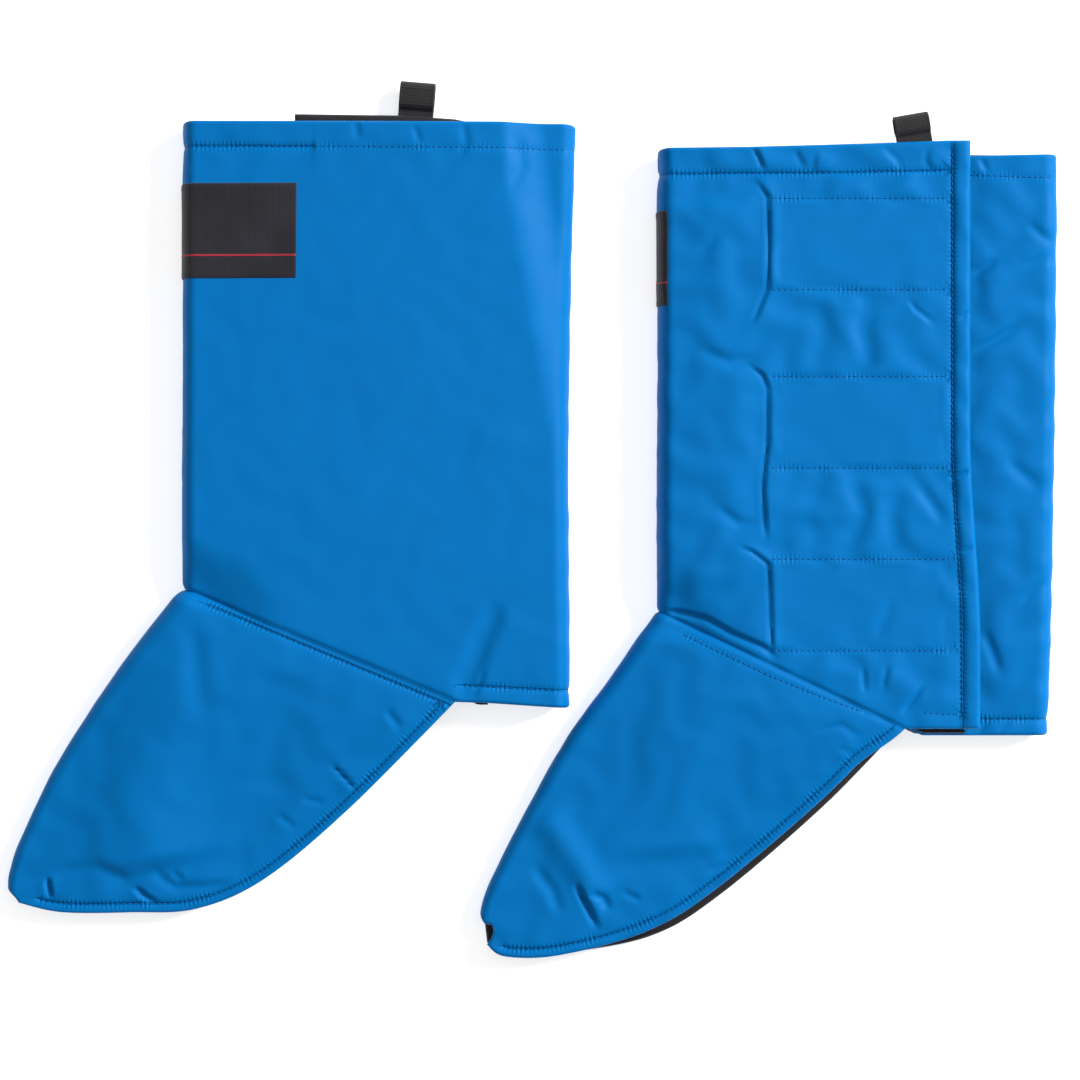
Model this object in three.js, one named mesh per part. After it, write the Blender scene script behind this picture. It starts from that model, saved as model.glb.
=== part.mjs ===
// A pair of insulated gaiters, lying flat side by side with both toes to the left.
//
// Each gaiter is a leg panel wrapped once round the shin, a flap that closes over the
// end of that panel, and a vamp that covers the foot and is open underneath. Every wall
// is quilted from three layers: a coated outer shell, batting and a lining.
//
// The right gaiter lies with its flap side up. The left one is its mirror image and lies
// with its flap side down. In each gaiter's own plan, x runs back from the front fold of
// the leg, y runs up the leg from the top hem (so the gaiter is at negative y), and z is
// height. Heights are worked out flap side up and turned over at the end for the left one.

import * as THREE from 'three';

// Driving dimensions, in millimetres.
const shellThickness = 0.8;
const battingThickness = 2.2;
const liningThickness = 0.6;
const labelThickness = 0.7;
const tapeThickness = 1.3;
const webbingThickness = 1.3;
const webbingWidth = 19.5;
const gap = 0.3;                 // between neighbouring pieces
const seamGap = 0.25;            // each panel's distance from a seam or fold line it ends on
const cavityHeight = 8;          // inside the flattened leg
const labelRelief = 1.1;         // how far the wall sits back to make room for the label
const labelSize = { width: 62, top: -34.5, bottom: -86.5 };
const reliefEnds = [64, 80];     // where that relief fades out, back from the front fold
const tapeRise = [8, 56];        // where the flap side climbs over the edge of the underlap
const underlapEdge = 62;         // free edge of the underlap, under the flap
const loopPanelBack = 168.5;     // back edge of the loop panel sewn to the underlap
const loopPanelTop = -16;        // its top edge, below the tail of the hanging loop
const patch = { front: 62, back: 157, height: 50, tops: [-28, -125.5, -225.5] };
const foldTop = 17.5;            // top end of the line the flap folds back along
const flapEdge = { top: 171, bottom: 176.5, from: 0.5, to: 0.85 };
const rollWidth = 10;            // the stuffed roll along the flap's free edge
const flapRise = 3.9;            // the flap's back corner stands this far above the front
const topFall = 2;               // the back fold's top is this far below the front's
const heelHem = -322.5;
const rollDown = [178, 206];     // where the left gaiter comes back down past its flap
const loopRoot = { y: 6, tail: 14 };
const loopEye = { opening: 6, from: 2, to: 5 };
const noseSteps = 6;
const legRows = 5;
const flapRows = 8;
const vampRows = 8;

const gaiters = {
  right: {
    flapUp: true,
    corner: [68.5, 202.5],
    legWidth: 220.5,
    heelTaper: 5,
    waist: 0,
    instep: [0, -254],
    heel: [135, -318.5],
    spine: [[-26, -291.5], [-50, -324.5], [-74.5, -368.5], [-92.5, -406], [-96, -421]],
    sole: [[92, -363], [34, -412.5], [-3.5, -434.5], [-53.5, -444], [-84, -444.5], [-94, -438]],
    loop: { centre: 140.5, lean: 0.17, reach: 20.5 },
  },
  left: {
    flapUp: false,
    corner: [-193.5, 217.5],
    legWidth: 217,
    heelTaper: 3,
    waist: 3,
    instep: [2, -257],
    heel: [151, -318.5],
    spine: [[-34.5, -301.5], [-68, -351], [-88, -392], [-95, -412], [-95.5, -422]],
    sole: [[91.5, -378.5], [45, -417], [8, -433], [-28, -435], [-66.5, -435], [-90, -430]],
    loop: { centre: 128.7, lean: -0.08, reach: 23 },
  },
};

// Sizes worked out from those.
const wall = shellThickness + battingThickness + liningThickness + 2 * gap;
const layers = {
  shell: [0, shellThickness],
  insulation: [shellThickness + gap, shellThickness + gap + battingThickness],
  lining: [wall - liningThickness, wall],
};
const lowMiddle = wall / 2;                            // middle of the wall that lies lowest
const foldMiddle = lowMiddle + cavityHeight + wall;    // middle of the underlap
const loopBase = foldMiddle + wall / 2 + gap;          // underside of the loop panel
const hookBase = loopBase + tapeThickness + gap;       // underside of the hook patches
const flapMiddle = hookBase + tapeThickness + gap + wall / 2;
const stackTop = flapMiddle + wall / 2;                // highest surface of the gaiter

const mix = THREE.MathUtils.lerp;
const smooth = (from, to, value) => THREE.MathUtils.smoothstep(value, from, to);

// Heights of the middle of each wall, flap side up.
const outerSideZ = (x) => lowMiddle + labelRelief * (1 - smooth(...reliefEnds, x));
const flapSideZ = (x) => mix(foldMiddle, flapMiddle, smooth(...tapeRise, x));

// Height of the flap side's outer face: what the left gaiter is laid flat on.
function legCeiling(x) {
  const pastFlap = smooth(...rollDown, x) * (flapMiddle - foldMiddle);
  return flapSideZ(x) + wall / 2 - pastFlap;
}

function layDown(gaiter, z, ceiling) {
  return gaiter.flapUp ? z : ceiling - z;
}

// Edges of the panels, in plan.
const seamY = (gaiter, x) => {
  const along = (x - gaiter.instep[0]) / (gaiter.heel[0] - gaiter.instep[0]);
  return mix(gaiter.instep[1], gaiter.heel[1], along);
};
const legTopY = (gaiter, x) => -topFall * x / gaiter.legWidth;
const flapTopY = (x) => flapRise * x / flapEdge.top;
const underlapTopY = (gaiter, x) => {
  const along = (gaiter.legWidth - x) / (gaiter.legWidth - underlapEdge);
  return mix(-topFall, flapRise, along);
};
const outerBottomY = (gaiter, x) => Math.max(heelHem, seamY(gaiter, x) + seamGap);
const underlapBottomY = (gaiter, x) => Math.max(heelHem, seamY(gaiter, x) + 1);
const backFoldX = (gaiter, v) => (
  gaiter.legWidth - gaiter.heelTaper * v * v - gaiter.waist * Math.sin(Math.PI * v)
);
const foldLineX = (gaiter, v) => mix(foldTop, gaiter.heel[0], v);
const flapEdgeX = (v) => mix(flapEdge.top, flapEdge.bottom, smooth(flapEdge.from, flapEdge.to, v));

// A closed body between an outer and an inner grid of points, with its four edges closed.
function sheetBody(outer, inner) {
  const rows = outer.length;
  const columns = outer[0].length;
  const positions = [...outer.flat(), ...inner.flat()].flatMap((point) => point.toArray());
  const faces = [];
  const quad = (a, b, c, d) => faces.push(a, b, c, a, c, d);
  const on = (side, row, column) => (side * rows + row) * columns + column;
  for (let row = 0; row + 1 < rows; row++) {
    for (let column = 0; column + 1 < columns; column++) {
      quad(on(0, row, column), on(0, row + 1, column), on(0, row + 1, column + 1), on(0, row, column + 1));
      quad(on(1, row, column), on(1, row, column + 1), on(1, row + 1, column + 1), on(1, row + 1, column));
    }
    quad(on(0, row, 0), on(1, row, 0), on(1, row + 1, 0), on(0, row + 1, 0));
    const last = columns - 1;
    quad(on(0, row, last), on(0, row + 1, last), on(1, row + 1, last), on(1, row, last));
  }
  for (let column = 0; column + 1 < columns; column++) {
    quad(on(0, 0, column), on(0, 0, column + 1), on(1, 0, column + 1), on(1, 0, column));
    const last = rows - 1;
    quad(on(0, last, column), on(1, last, column), on(1, last, column + 1), on(0, last, column + 1));
  }
  return outwards(positions, faces);
}

// A closed body lofted through rings of points, with flat convex ends.
function ringBody(rings) {
  const count = rings[0].length;
  const positions = rings.flat().flatMap((point) => point.toArray());
  const faces = [];
  for (let ring = 0; ring + 1 < rings.length; ring++) {
    for (let k = 0; k < count; k++) {
      const next = (k + 1) % count;
      const a = ring * count;
      faces.push(a + k, a + next, a + count + next, a + k, a + count + next, a + count + k);
    }
  }
  const end = (rings.length - 1) * count;
  for (let k = 1; k + 1 < count; k++) {
    faces.push(0, k + 1, k, end, end + k, end + k + 1);
  }
  return outwards(positions, faces);
}

// Turns the faces over if they enclose a negative volume.
function outwards(positions, faces) {
  const corner = (k) => new THREE.Vector3().fromArray(positions, 3 * faces[k]);
  let volume = 0;
  for (let k = 0; k < faces.length; k += 3) {
    volume += corner(k).dot(corner(k + 1).cross(corner(k + 2)));
  }
  if (volume < 0) {
    faces.reverse();
  }
  const geometry = new THREE.BufferGeometry();
  geometry.setAttribute('position', new THREE.Float32BufferAttribute(positions, 3));
  geometry.setIndex(faces);
  geometry.computeVertexNormals();
  return geometry;
}

// A section line moved inwards by a depth below the wall's outer face. The line is walked
// so that its outer side is on the right: along the flap side, round the front fold and
// back along the outer side.
function atDepth(line, depth) {
  const shift = wall / 2 - depth;
  return line.map((point, k) => {
    const before = line[Math.max(k - 1, 0)];
    const after = line[Math.min(k + 1, line.length - 1)];
    const along = new THREE.Vector2(after.x - before.x, after.z - before.z).normalize();
    return { ...point, x: point.x + along.y * shift, z: point.z - along.x * shift };
  });
}

// The points round a fold, from the upper wall to the lower one. facing is -1 at the front
// fold and 1 at the back fold, where the points run from the lower wall to the upper one.
function foldPoints(centreX, low, high, facing) {
  const radius = (high - low) / 2;
  return Array.from({ length: noseSteps + 1 }, (_, k) => {
    const turn = Math.PI * (k / noseSteps - 0.5);
    const x = centreX + facing * radius * Math.cos(turn);
    const z = (low + high) / 2 + facing * radius * Math.sin(turn);
    return { x, z, side: z > (low + high) / 2 ? 'upper' : 'lower' };
  });
}

const frontFoldCentre = (low, high) => (high - low + wall) / 2;

// The leg panel in section at a fraction v of the way down: from the fold line of the flap,
// round the front fold, along the outer side, round the back fold and along the underlap.
function legLine(gaiter, v) {
  const edge = foldLineX(gaiter, v) - seamGap;
  const low = outerSideZ(0);
  const front = frontFoldCentre(low, foldMiddle);
  const back = backFoldX(gaiter, v) - frontFoldCentre(lowMiddle, foldMiddle);
  const rampEnd = Math.min(tapeRise[1], edge - 4);
  const ramp = [1, 0.75, 0.5, 0.25].map((part) => mix(front, rampEnd, part));
  const outer = [22, 36, 50, reliefEnds[0], reliefEnds[1], 130, rollDown[0], 187, 197];
  const under = [197, 187, rollDown[0], 130, 80, underlapEdge];
  return [
    ...[edge, ...ramp].map((x) => ({ x, z: flapSideZ(x), side: 'flap' })),
    ...foldPoints(front, low, foldMiddle, -1).map((point) => ({ ...point, side: 'outer' })),
    ...outer.map((x) => ({ x, z: outerSideZ(x), side: 'outer' })),
    ...foldPoints(back, lowMiddle, foldMiddle, 1).map((point) => (
      { ...point, side: point.side === 'upper' ? 'under' : 'outer' }
    )),
    ...under.map((x) => ({ x, z: foldMiddle, side: 'under' })),
  ];
}

// The flap in section, from its stitched edge to the fold line.
function flapLine(gaiter, v) {
  const edge = foldLineX(gaiter, v) + seamGap;
  const rampEnd = Math.max(tapeRise[1], edge + 6);
  const stitched = flapEdgeX(v) - rollWidth - gap;
  const ramp = [1, 0.75, 0.5, 0.25, 0].map((part) => mix(edge, rampEnd, part));
  return [stitched, (stitched + rampEnd) / 2, ...ramp].map((x) => ({ x, z: flapSideZ(x) }));
}

// The label in section: from just below the flap side, round the front fold, and back
// along the outer side.
function labelLine() {
  const low = outerSideZ(0);
  return [
    ...foldPoints(frontFoldCentre(low, foldMiddle), low, foldMiddle, -1).slice(1),
    ...[22, 36, 50, labelSize.width].map((x) => ({ x, z: outerSideZ(x) })),
  ];
}

// A panel of the leg between two depths. Each column of points runs straight from its head
// on the top edge to its foot on the bottom edge.
function legPanel(gaiter, lineAt, topY, bottomY, rows, depths) {
  const grid = (depth) => {
    const head = atDepth(lineAt(0), depth);
    const foot = atDepth(lineAt(1), depth);
    return Array.from({ length: rows + 1 }, (_, row) => {
      const v = row / rows;
      return atDepth(lineAt(v), depth).map((point, k) => new THREE.Vector3(
        point.x,
        mix(topY(head[k]), bottomY(foot[k]), v),
        layDown(gaiter, point.z, legCeiling(point.x)),
      ));
    });
  };
  return sheetBody(grid(depths[0]), grid(depths[1]));
}

function legWall(gaiter, depths) {
  const tops = {
    flap: flapTopY,
    outer: (x) => legTopY(gaiter, x),
    under: (x) => underlapTopY(gaiter, x),
  };
  const bottoms = {
    flap: (x) => seamY(gaiter, x) + seamGap,
    outer: (x) => outerBottomY(gaiter, x),
    under: (x) => underlapBottomY(gaiter, x),
  };
  const topY = (point) => tops[point.side](point.x);
  const bottomY = (point) => bottoms[point.side](point.x);
  return legPanel(gaiter, (v) => legLine(gaiter, v), topY, bottomY, legRows, depths);
}

function flapWall(gaiter, depths) {
  const topY = (point) => flapTopY(point.x);
  const bottomY = () => gaiter.heel[1] + seamGap;
  return legPanel(gaiter, (v) => flapLine(gaiter, v), topY, bottomY, flapRows, depths);
}

function label(gaiter) {
  const depths = [-gap - labelThickness, -gap];
  return legPanel(gaiter, labelLine, () => labelSize.top, () => labelSize.bottom, 1, depths);
}

// The roll along the flap's free edge, as thick as the wall and round at the back.
function flapRoll(gaiter) {
  const radius = wall / 2;
  const round = Array.from({ length: noseSteps + 1 }, (_, k) => Math.PI * (k / noseSteps - 0.5));
  const rings = Array.from({ length: flapRows + 1 }, (_, row) => {
    const v = row / flapRows;
    const back = flapEdgeX(v);
    const y = mix(flapTopY(back), gaiter.heel[1] + seamGap, v);
    const at = (x, z) => new THREE.Vector3(x, y, layDown(gaiter, z, stackTop));
    return [
      at(back - rollWidth, flapMiddle + radius),
      at(back - rollWidth, flapMiddle - radius),
      ...round.map((turn) => (
        at(back - radius + radius * Math.cos(turn), flapMiddle + radius * Math.sin(turn))
      )),
    ];
  });
  return ringBody(rings);
}

// The vamp. Its sections run from the spine over the instep to the sole's edge, on
// vertical planes that turn from the ankle seam to the toe.
function planCurve(start, points) {
  return new THREE.SplineCurve([start, ...points].map(([x, y]) => new THREE.Vector2(x, y)));
}

function vampSection(gaiter, spine, sole, u) {
  const front = spine.getPointAt(u);
  const edge = sole.getPointAt(u);
  const along = edge.clone().sub(front).normalize();
  const length = edge.distanceTo(front);
  const fade = 1 - smooth(0, 0.3, u);
  const lowZ = (q) => lowMiddle + fade * (outerSideZ(q * along.x) - lowMiddle);
  const spineZ = foldMiddle - 3.5 * smooth(0, 1, u);
  const crown = mix(flapMiddle - foldMiddle, 2, smooth(0, 0.45, u));
  const highZ = (q) => spineZ + crown * smooth(...tapeRise, q * mix(along.x, 1, u));
  const nose = frontFoldCentre(lowZ(0), spineZ);
  const inset = 4.5 * Math.sin(Math.PI * Math.min(u / 0.8, 1));
  const parts = [1, 0.75, 0.5, 0.33, 0.17];
  const upper = parts.map((part) => mix(nose, length - inset, part));
  const lower = parts.map((part) => mix(nose, length, part)).reverse();
  const line = [
    ...upper.map((x) => ({ x, z: highZ(x) })),
    ...foldPoints(nose, lowZ(0), spineZ, -1),
    ...lower.map((x) => ({ x, z: lowZ(x) })),
  ];
  const place = (point) => {
    const ceiling = highZ(Math.max(point.x, nose)) + wall / 2;
    const z = layDown(gaiter, point.z, ceiling);
    return new THREE.Vector3(front.x + along.x * point.x, front.y + along.y * point.x, z);
  };
  return { line, place };
}

function vampWall(gaiter, depths) {
  const below = (point) => [point[0], point[1] - seamGap];
  const spine = planCurve(below(gaiter.instep), gaiter.spine);
  const sole = planCurve(below(gaiter.heel), gaiter.sole);
  const grid = (depth) => Array.from({ length: vampRows + 1 }, (_, row) => {
    const section = vampSection(gaiter, spine, sole, row / vampRows);
    return atDepth(section.line, depth).map(section.place);
  });
  return sheetBody(grid(depths[0]), grid(depths[1]));
}

// A flat piece in the stack, from its plan outline and its height flap side up.
function flatPiece(gaiter, outline, base, thickness) {
  const shape = new THREE.Shape(outline.map(([x, y]) => new THREE.Vector2(x, y)));
  const geometry = new THREE.ExtrudeGeometry(shape, { depth: thickness, bevelEnabled: false });
  const low = gaiter.flapUp ? base : stackTop - base - thickness;
  return geometry.translate(0, 0, low);
}

function loopPanel(gaiter) {
  const front = underlapEdge + 2;
  const turn = gaiter.heel[0] + (heelHem + 1 - gaiter.heel[1]) / seamSlope(gaiter);
  const outline = [
    [front, loopPanelTop],
    [loopPanelBack, loopPanelTop],
    [loopPanelBack, heelHem + 1.5],
    [turn, heelHem + 1.5],
    [front, seamY(gaiter, front) + 2.5],
  ];
  return flatPiece(gaiter, outline, loopBase, tapeThickness);
}

const seamSlope = (gaiter) => (
  (gaiter.heel[1] - gaiter.instep[1]) / (gaiter.heel[0] - gaiter.instep[0])
);

// Where the flap's fold line crosses a height on the leg.
function foldLineAt(gaiter, y) {
  const top = flapTopY(foldTop);
  return foldLineX(gaiter, (y - top) / (gaiter.heel[1] - top));
}

// The part of a hook patch that turns with the flap, behind the fold line.
function hookOnFlap(gaiter, top) {
  const bottom = top - patch.height;
  const front = (y) => Math.max(patch.front, foldLineAt(gaiter, y) + seamGap);
  const outline = [[front(bottom), bottom], [patch.back, bottom], [patch.back, top], [front(top), top]];
  return flatPiece(gaiter, outline, hookBase, tapeThickness);
}

// The part of a hook patch that stays on the leg, in front of the fold line.
function hookOnLeg(gaiter, top) {
  const bottom = top - patch.height;
  const back = (y) => foldLineAt(gaiter, y) - seamGap;
  const outline = [
    [patch.front, bottom],
    [back(bottom), bottom],
    [Math.max(back(top), patch.front + 1), top],
    [patch.front, top],
  ];
  return flatPiece(gaiter, outline, hookBase, tapeThickness);
}

// The hanging loop: one length of webbing folded back on itself, lying past the top hem.
// Its section is drawn in (distance out from the root, height), then swept across.
function hangingLoop(gaiter) {
  const plies = webbingThickness + gap / 2;
  const closed = plies / 2;
  const open = (loopEye.opening + webbingThickness) / 2;
  const tip = gaiter.loop.reach - loopRoot.y - open - webbingThickness / 2;
  const half = [[0.15, closed], [loopEye.from, closed], [loopEye.to, open], [tip, open]];
  const bend = Array.from({ length: noseSteps - 1 }, (_, k) => {
    const turn = Math.PI * (0.5 - (k + 1) / noseSteps);
    return [tip + open * Math.cos(turn), open * Math.sin(turn)];
  });
  const middle = [...half, ...bend, ...half.map(([out, z]) => [out, -z]).reverse()];
  const line = middle.map(([x, z]) => ({ x, z }));
  const side = (reach) => atDepth(line, wall / 2 - reach * webbingThickness / 2);
  const outline = [...side(1), ...side(-1).reverse()];
  const shape = new THREE.Shape(outline.map((point) => new THREE.Vector2(point.x, point.z)));
  const geometry = new THREE.ExtrudeGeometry(shape, { depth: webbingWidth, bevelEnabled: false });
  geometry.rotateX(Math.PI / 2);
  geometry.rotateZ(Math.PI / 2);
  geometry.translate(-webbingWidth / 2, 0, 0);
  return geometry;
}

function loopTail() {
  const length = loopRoot.tail + loopRoot.y - 0.15;
  const geometry = new THREE.BoxGeometry(webbingWidth, length, 2 * webbingThickness + gap / 2);
  return geometry.translate(0, -length / 2 - 0.15, 0);
}

const loopMiddle = (loopBase + hookBase + tapeThickness) / 2;   // height of the loop's plies

function placeLoop(gaiter, mesh) {
  mesh.rotation.z = gaiter.loop.lean;
  mesh.position.set(gaiter.loop.centre, loopRoot.y, layDown(gaiter, loopMiddle, stackTop));
  return mesh;
}

// Materials.
const cloth = (color, roughness) => new THREE.MeshStandardMaterial({ color, roughness, metalness: 0 });
const shellCloth = () => cloth(0x0072bc, 0.55);
const battingCloth = () => cloth(0xe9e6de, 0.95);
const liningCloth = () => cloth(0x16151a, 0.8);
const tapeCloth = () => cloth(0x121115, 0.9);
const webbingCloth = () => cloth(0x19181c, 0.85);
const labelCloth = () => cloth(0x302d2f, 0.75);

function buildGaiter(side, gaiter) {
  const group = new THREE.Group();
  const add = (name, geometry, material) => {
    const mesh = new THREE.Mesh(geometry, material);
    mesh.name = `${side}_${name}`;
    group.add(mesh);
    return mesh;
  };
  const walls = { leg: legWall, flap: flapWall, vamp: vampWall };
  const cloths = { shell: shellCloth, insulation: battingCloth, lining: liningCloth };
  for (const [panel, makeWall] of Object.entries(walls)) {
    for (const [layer, depths] of Object.entries(layers)) {
      add(`${panel}_${layer}`, makeWall(gaiter, depths), cloths[layer]());
    }
  }
  add('flap_edge_roll', flapRoll(gaiter), shellCloth());
  add('loop_panel', loopPanel(gaiter), tapeCloth());
  const [upper, middle, lower] = patch.tops;
  add('hook_patch_upper', hookOnFlap(gaiter, upper), tapeCloth());
  add('hook_patch_middle', hookOnFlap(gaiter, middle), tapeCloth());
  add('hook_patch_lower', hookOnFlap(gaiter, lower), tapeCloth());
  add('hook_patch_middle_front', hookOnLeg(gaiter, middle), tapeCloth());
  add('hook_patch_lower_front', hookOnLeg(gaiter, lower), tapeCloth());
  placeLoop(gaiter, add('hanging_loop', hangingLoop(gaiter), webbingCloth()));
  placeLoop(gaiter, add('hanging_loop_tail', loopTail(), webbingCloth()));
  add('label', label(gaiter), labelCloth());
  group.position.set(...gaiter.corner, 0);
  return group;
}

// The pair stands on z = 0 with the origin at the middle of its footprint.
const pair = new THREE.Group();
for (const [side, gaiter] of Object.entries(gaiters)) {
  pair.add(buildGaiter(side, gaiter));
}
const extent = new THREE.Box3().setFromObject(pair);
const centre = extent.getCenter(new THREE.Vector3());
pair.position.set(-centre.x, -centre.y, -extent.min.z);

export default pair;
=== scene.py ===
"""The looks of a pair of insulated gaiters that lie flat side by side.

Every wall is three pieces, an outer shell, batting and a lining, built as fine sheets on
one middle surface. Lengths are in millimetres in each gaiter's own plan (x back from
the front fold, y up from the top hem, z up from the table, flap side up) until a mesh is
made. The left gaiter is turned over, flap side down, as the last step.
"""

import math

import bpy
import numpy as np
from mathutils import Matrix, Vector
from mathutils.bvhtree import BVHTree


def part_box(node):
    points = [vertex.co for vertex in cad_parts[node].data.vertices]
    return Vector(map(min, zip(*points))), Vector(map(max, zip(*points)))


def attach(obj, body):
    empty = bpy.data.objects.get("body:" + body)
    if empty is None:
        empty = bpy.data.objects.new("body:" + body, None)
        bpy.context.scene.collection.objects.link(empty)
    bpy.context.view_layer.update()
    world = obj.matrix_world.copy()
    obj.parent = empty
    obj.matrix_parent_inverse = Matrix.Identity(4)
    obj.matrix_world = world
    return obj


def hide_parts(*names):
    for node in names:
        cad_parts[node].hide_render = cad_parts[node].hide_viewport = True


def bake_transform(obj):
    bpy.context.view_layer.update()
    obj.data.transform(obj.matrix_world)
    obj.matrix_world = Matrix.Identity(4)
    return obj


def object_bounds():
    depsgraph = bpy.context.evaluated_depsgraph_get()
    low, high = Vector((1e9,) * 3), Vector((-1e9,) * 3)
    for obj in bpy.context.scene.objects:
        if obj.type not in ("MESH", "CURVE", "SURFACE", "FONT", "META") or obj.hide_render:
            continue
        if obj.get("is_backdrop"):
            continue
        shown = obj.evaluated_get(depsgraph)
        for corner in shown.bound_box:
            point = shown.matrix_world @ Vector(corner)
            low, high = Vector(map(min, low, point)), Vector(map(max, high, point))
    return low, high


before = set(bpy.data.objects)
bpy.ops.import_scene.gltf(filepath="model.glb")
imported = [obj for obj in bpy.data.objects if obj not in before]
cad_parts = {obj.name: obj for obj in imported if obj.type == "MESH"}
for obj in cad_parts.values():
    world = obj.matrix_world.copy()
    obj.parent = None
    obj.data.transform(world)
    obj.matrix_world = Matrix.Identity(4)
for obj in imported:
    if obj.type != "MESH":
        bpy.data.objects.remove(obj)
cad_low, cad_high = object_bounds()

MM = 0.001

# ---- dimensions ----
# They are those of the CAD model, except that the label is 2.5 mm wider, the hollow beside
# it runs out over a longer way, the right loop is 1.7 mm shorter, and the edges of the top
# and of the heel are not straight.
WALL = 4.2
HALF = WALL / 2
SHELL = 0.8
LINING = 0.6
GAP = 0.3
TAPE = 1.3
CAVITY = 8.0
LABEL_RELIEF = 1.1
LABEL = {"width": 64.5, "top": -34.5, "bottom": -86.5}
LABEL_WRAP = 7.5
RELIEF_ENDS = (40.0, 150.0)
TAPE_RISE = (8.0, 56.0)
UNDERLAP_EDGE = 62.0
LOOP_PANEL = {"back": 168.5, "top": -16.0}
PATCH = {"front": 62.0, "back": 157.0, "height": 50.0}
PATCH_TOPS = {"upper": -28.0, "middle": -125.5, "lower": -225.5}
FOLD_TOP = 17.5
FLAP_EDGE = (171.0, 176.5, 0.5, 0.85)
ROLL = 10.0
FLAP_RISE = 3.9
HEEL_HEM = -322.5
ROLL_DOWN = (178.0, 206.0)
LOOP_ROOT = 6.0
LOOP_TAIL = 14.0
WEBBING = (19.5, 1.3)

# Detail that the CAD model leaves out.
RIBS = {"pitch": 1.25, "height": 0.13}
HOOKS = {"pitch": 1.5, "height": 0.24}
RED_LINE = (38.2, 39.6)

LOW = HALF
FOLD = LOW + CAVITY + WALL
LOOP_BASE = FOLD + HALF + GAP
HOOK_BASE = LOOP_BASE + TAPE + GAP
FLAP = HOOK_BASE + TAPE + GAP + HALF
STACK_TOP = FLAP + HALF

GAITERS = {
    "right": {
        "flap_up": True,
        "heel_taper": 5.0,
        "waist": 0.0,
        "instep": (0.0, -254.0),
        "heel": (135.0, -318.5),
        "spine": [(-26, -291.5), (-50, -324.5), (-74.5, -368.5), (-92.5, -406), (-96, -421)],
        "sole": [(92, -363), (34, -412.5), (-3.5, -434.5), (-53.5, -444), (-84, -444.5), (-94, -438)],
        "loop": {"centre": 140.5, "lean": 0.17, "reach": 18.8},
        "outer_top": [(0, 0), (220, -2.0)],
        "flap_top": [(0, 0), (49, 0.4), (115, 2.2), (158, 3.8), (177, 3.9)],
        "underlap_top": [(UNDERLAP_EDGE, -2.0), (171, -3.6), (220, -2.6)],
        "heel_hem": [(135, -321.5), (146, -322.5), (221, -322.5)],
        "seed": 3,
    },
    "left": {
        "flap_up": False,
        "heel_taper": 3.0,
        "waist": 3.0,
        "instep": (2.0, -257.0),
        "heel": (151.0, -318.5),
        "spine": [(-34.5, -301.5), (-68, -351), (-88, -392), (-95, -412), (-95.5, -422)],
        "sole": [(91.5, -378.5), (45, -417), (8, -433), (-28, -435), (-66.5, -435), (-90, -430)],
        "loop": {"centre": 128.7, "lean": -0.08, "reach": 23.0},
        "outer_top": [(0, 0), (217, -1.1)],
        "flap_top": [(0, 0), (60, -1.0), (177, -1.8)],
        "underlap_top": [(UNDERLAP_EDGE, 5.0), (120, 4.2), (150, 2.2), (162, -0.2), (217, -2.0)],
        "heel_hem": [(151, -318.7), (170, -319.4), (212, -322.2), (221, -322.5)],
        "seed": 11,
    },
}
for side, gaiter in GAITERS.items():
    low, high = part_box(f"{side}_leg_shell")
    gaiter["side"] = side
    gaiter["width"] = (high.x - low.x) / MM
    gaiter["corner"] = np.array([low.x / MM, high.y / MM - FLAP_RISE, 0.06])


# ---- small helpers ----
def mix(a, b, t):
    return a + (b - a) * t


def smooth(low, high, value):
    t = np.clip((value - low) / (high - low), 0, 1)
    return t * t * (3 - 2 * t)


def bell(value, width):
    return np.exp(-((value / width) ** 2))


def spline(points, count=400):
    """Uniform Catmull-Rom through the points, resampled evenly by length."""
    p = np.array(points, float)
    p = np.vstack([p[:1], p, p[-1:]])
    out = []
    for k in range(1, len(p) - 2):
        t = np.linspace(0, 1, 40, endpoint=k == len(p) - 3)[:, None]
        a, b, c, d = p[k - 1 : k + 3]
        out.append(b + 0.5 * t * (c - a + t * (2 * a - 5 * b + 4 * c - d + t * (3 * (b - c) + d - a))))
    line = np.vstack(out)
    length = np.concatenate([[0], np.cumsum(np.linalg.norm(np.diff(line, axis=0), axis=1))])
    even = np.linspace(0, length[-1], count)
    return np.stack([np.interp(even, length, line[:, k]) for k in (0, 1)], 1)


def lattice(x, y, seed):
    """Smooth value noise from 0 to 1 over the plane, one cell per unit."""
    rng = np.random.RandomState(seed)
    table = rng.rand(64, 64)
    ix, iy = np.floor(x).astype(int), np.floor(y).astype(int)
    fx, fy = x - ix, y - iy
    fx, fy = fx * fx * (3 - 2 * fx), fy * fy * (3 - 2 * fy)
    at = lambda a, b: table[a % 64, b % 64]
    top = mix(at(ix, iy), at(ix + 1, iy), fx)
    low = mix(at(ix, iy + 1), at(ix + 1, iy + 1), fx)
    return mix(top, low, fy)


def cloud(x, y, size, seed, octaves=3):
    """Noise from about -1 to 1 with features of the given size."""
    total = sum(lattice(x / size * 2**k, y / size * 2**k, seed + k) * 0.5**k for k in range(octaves))
    return 2 * total / sum(0.5**k for k in range(octaves)) - 1


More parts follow.
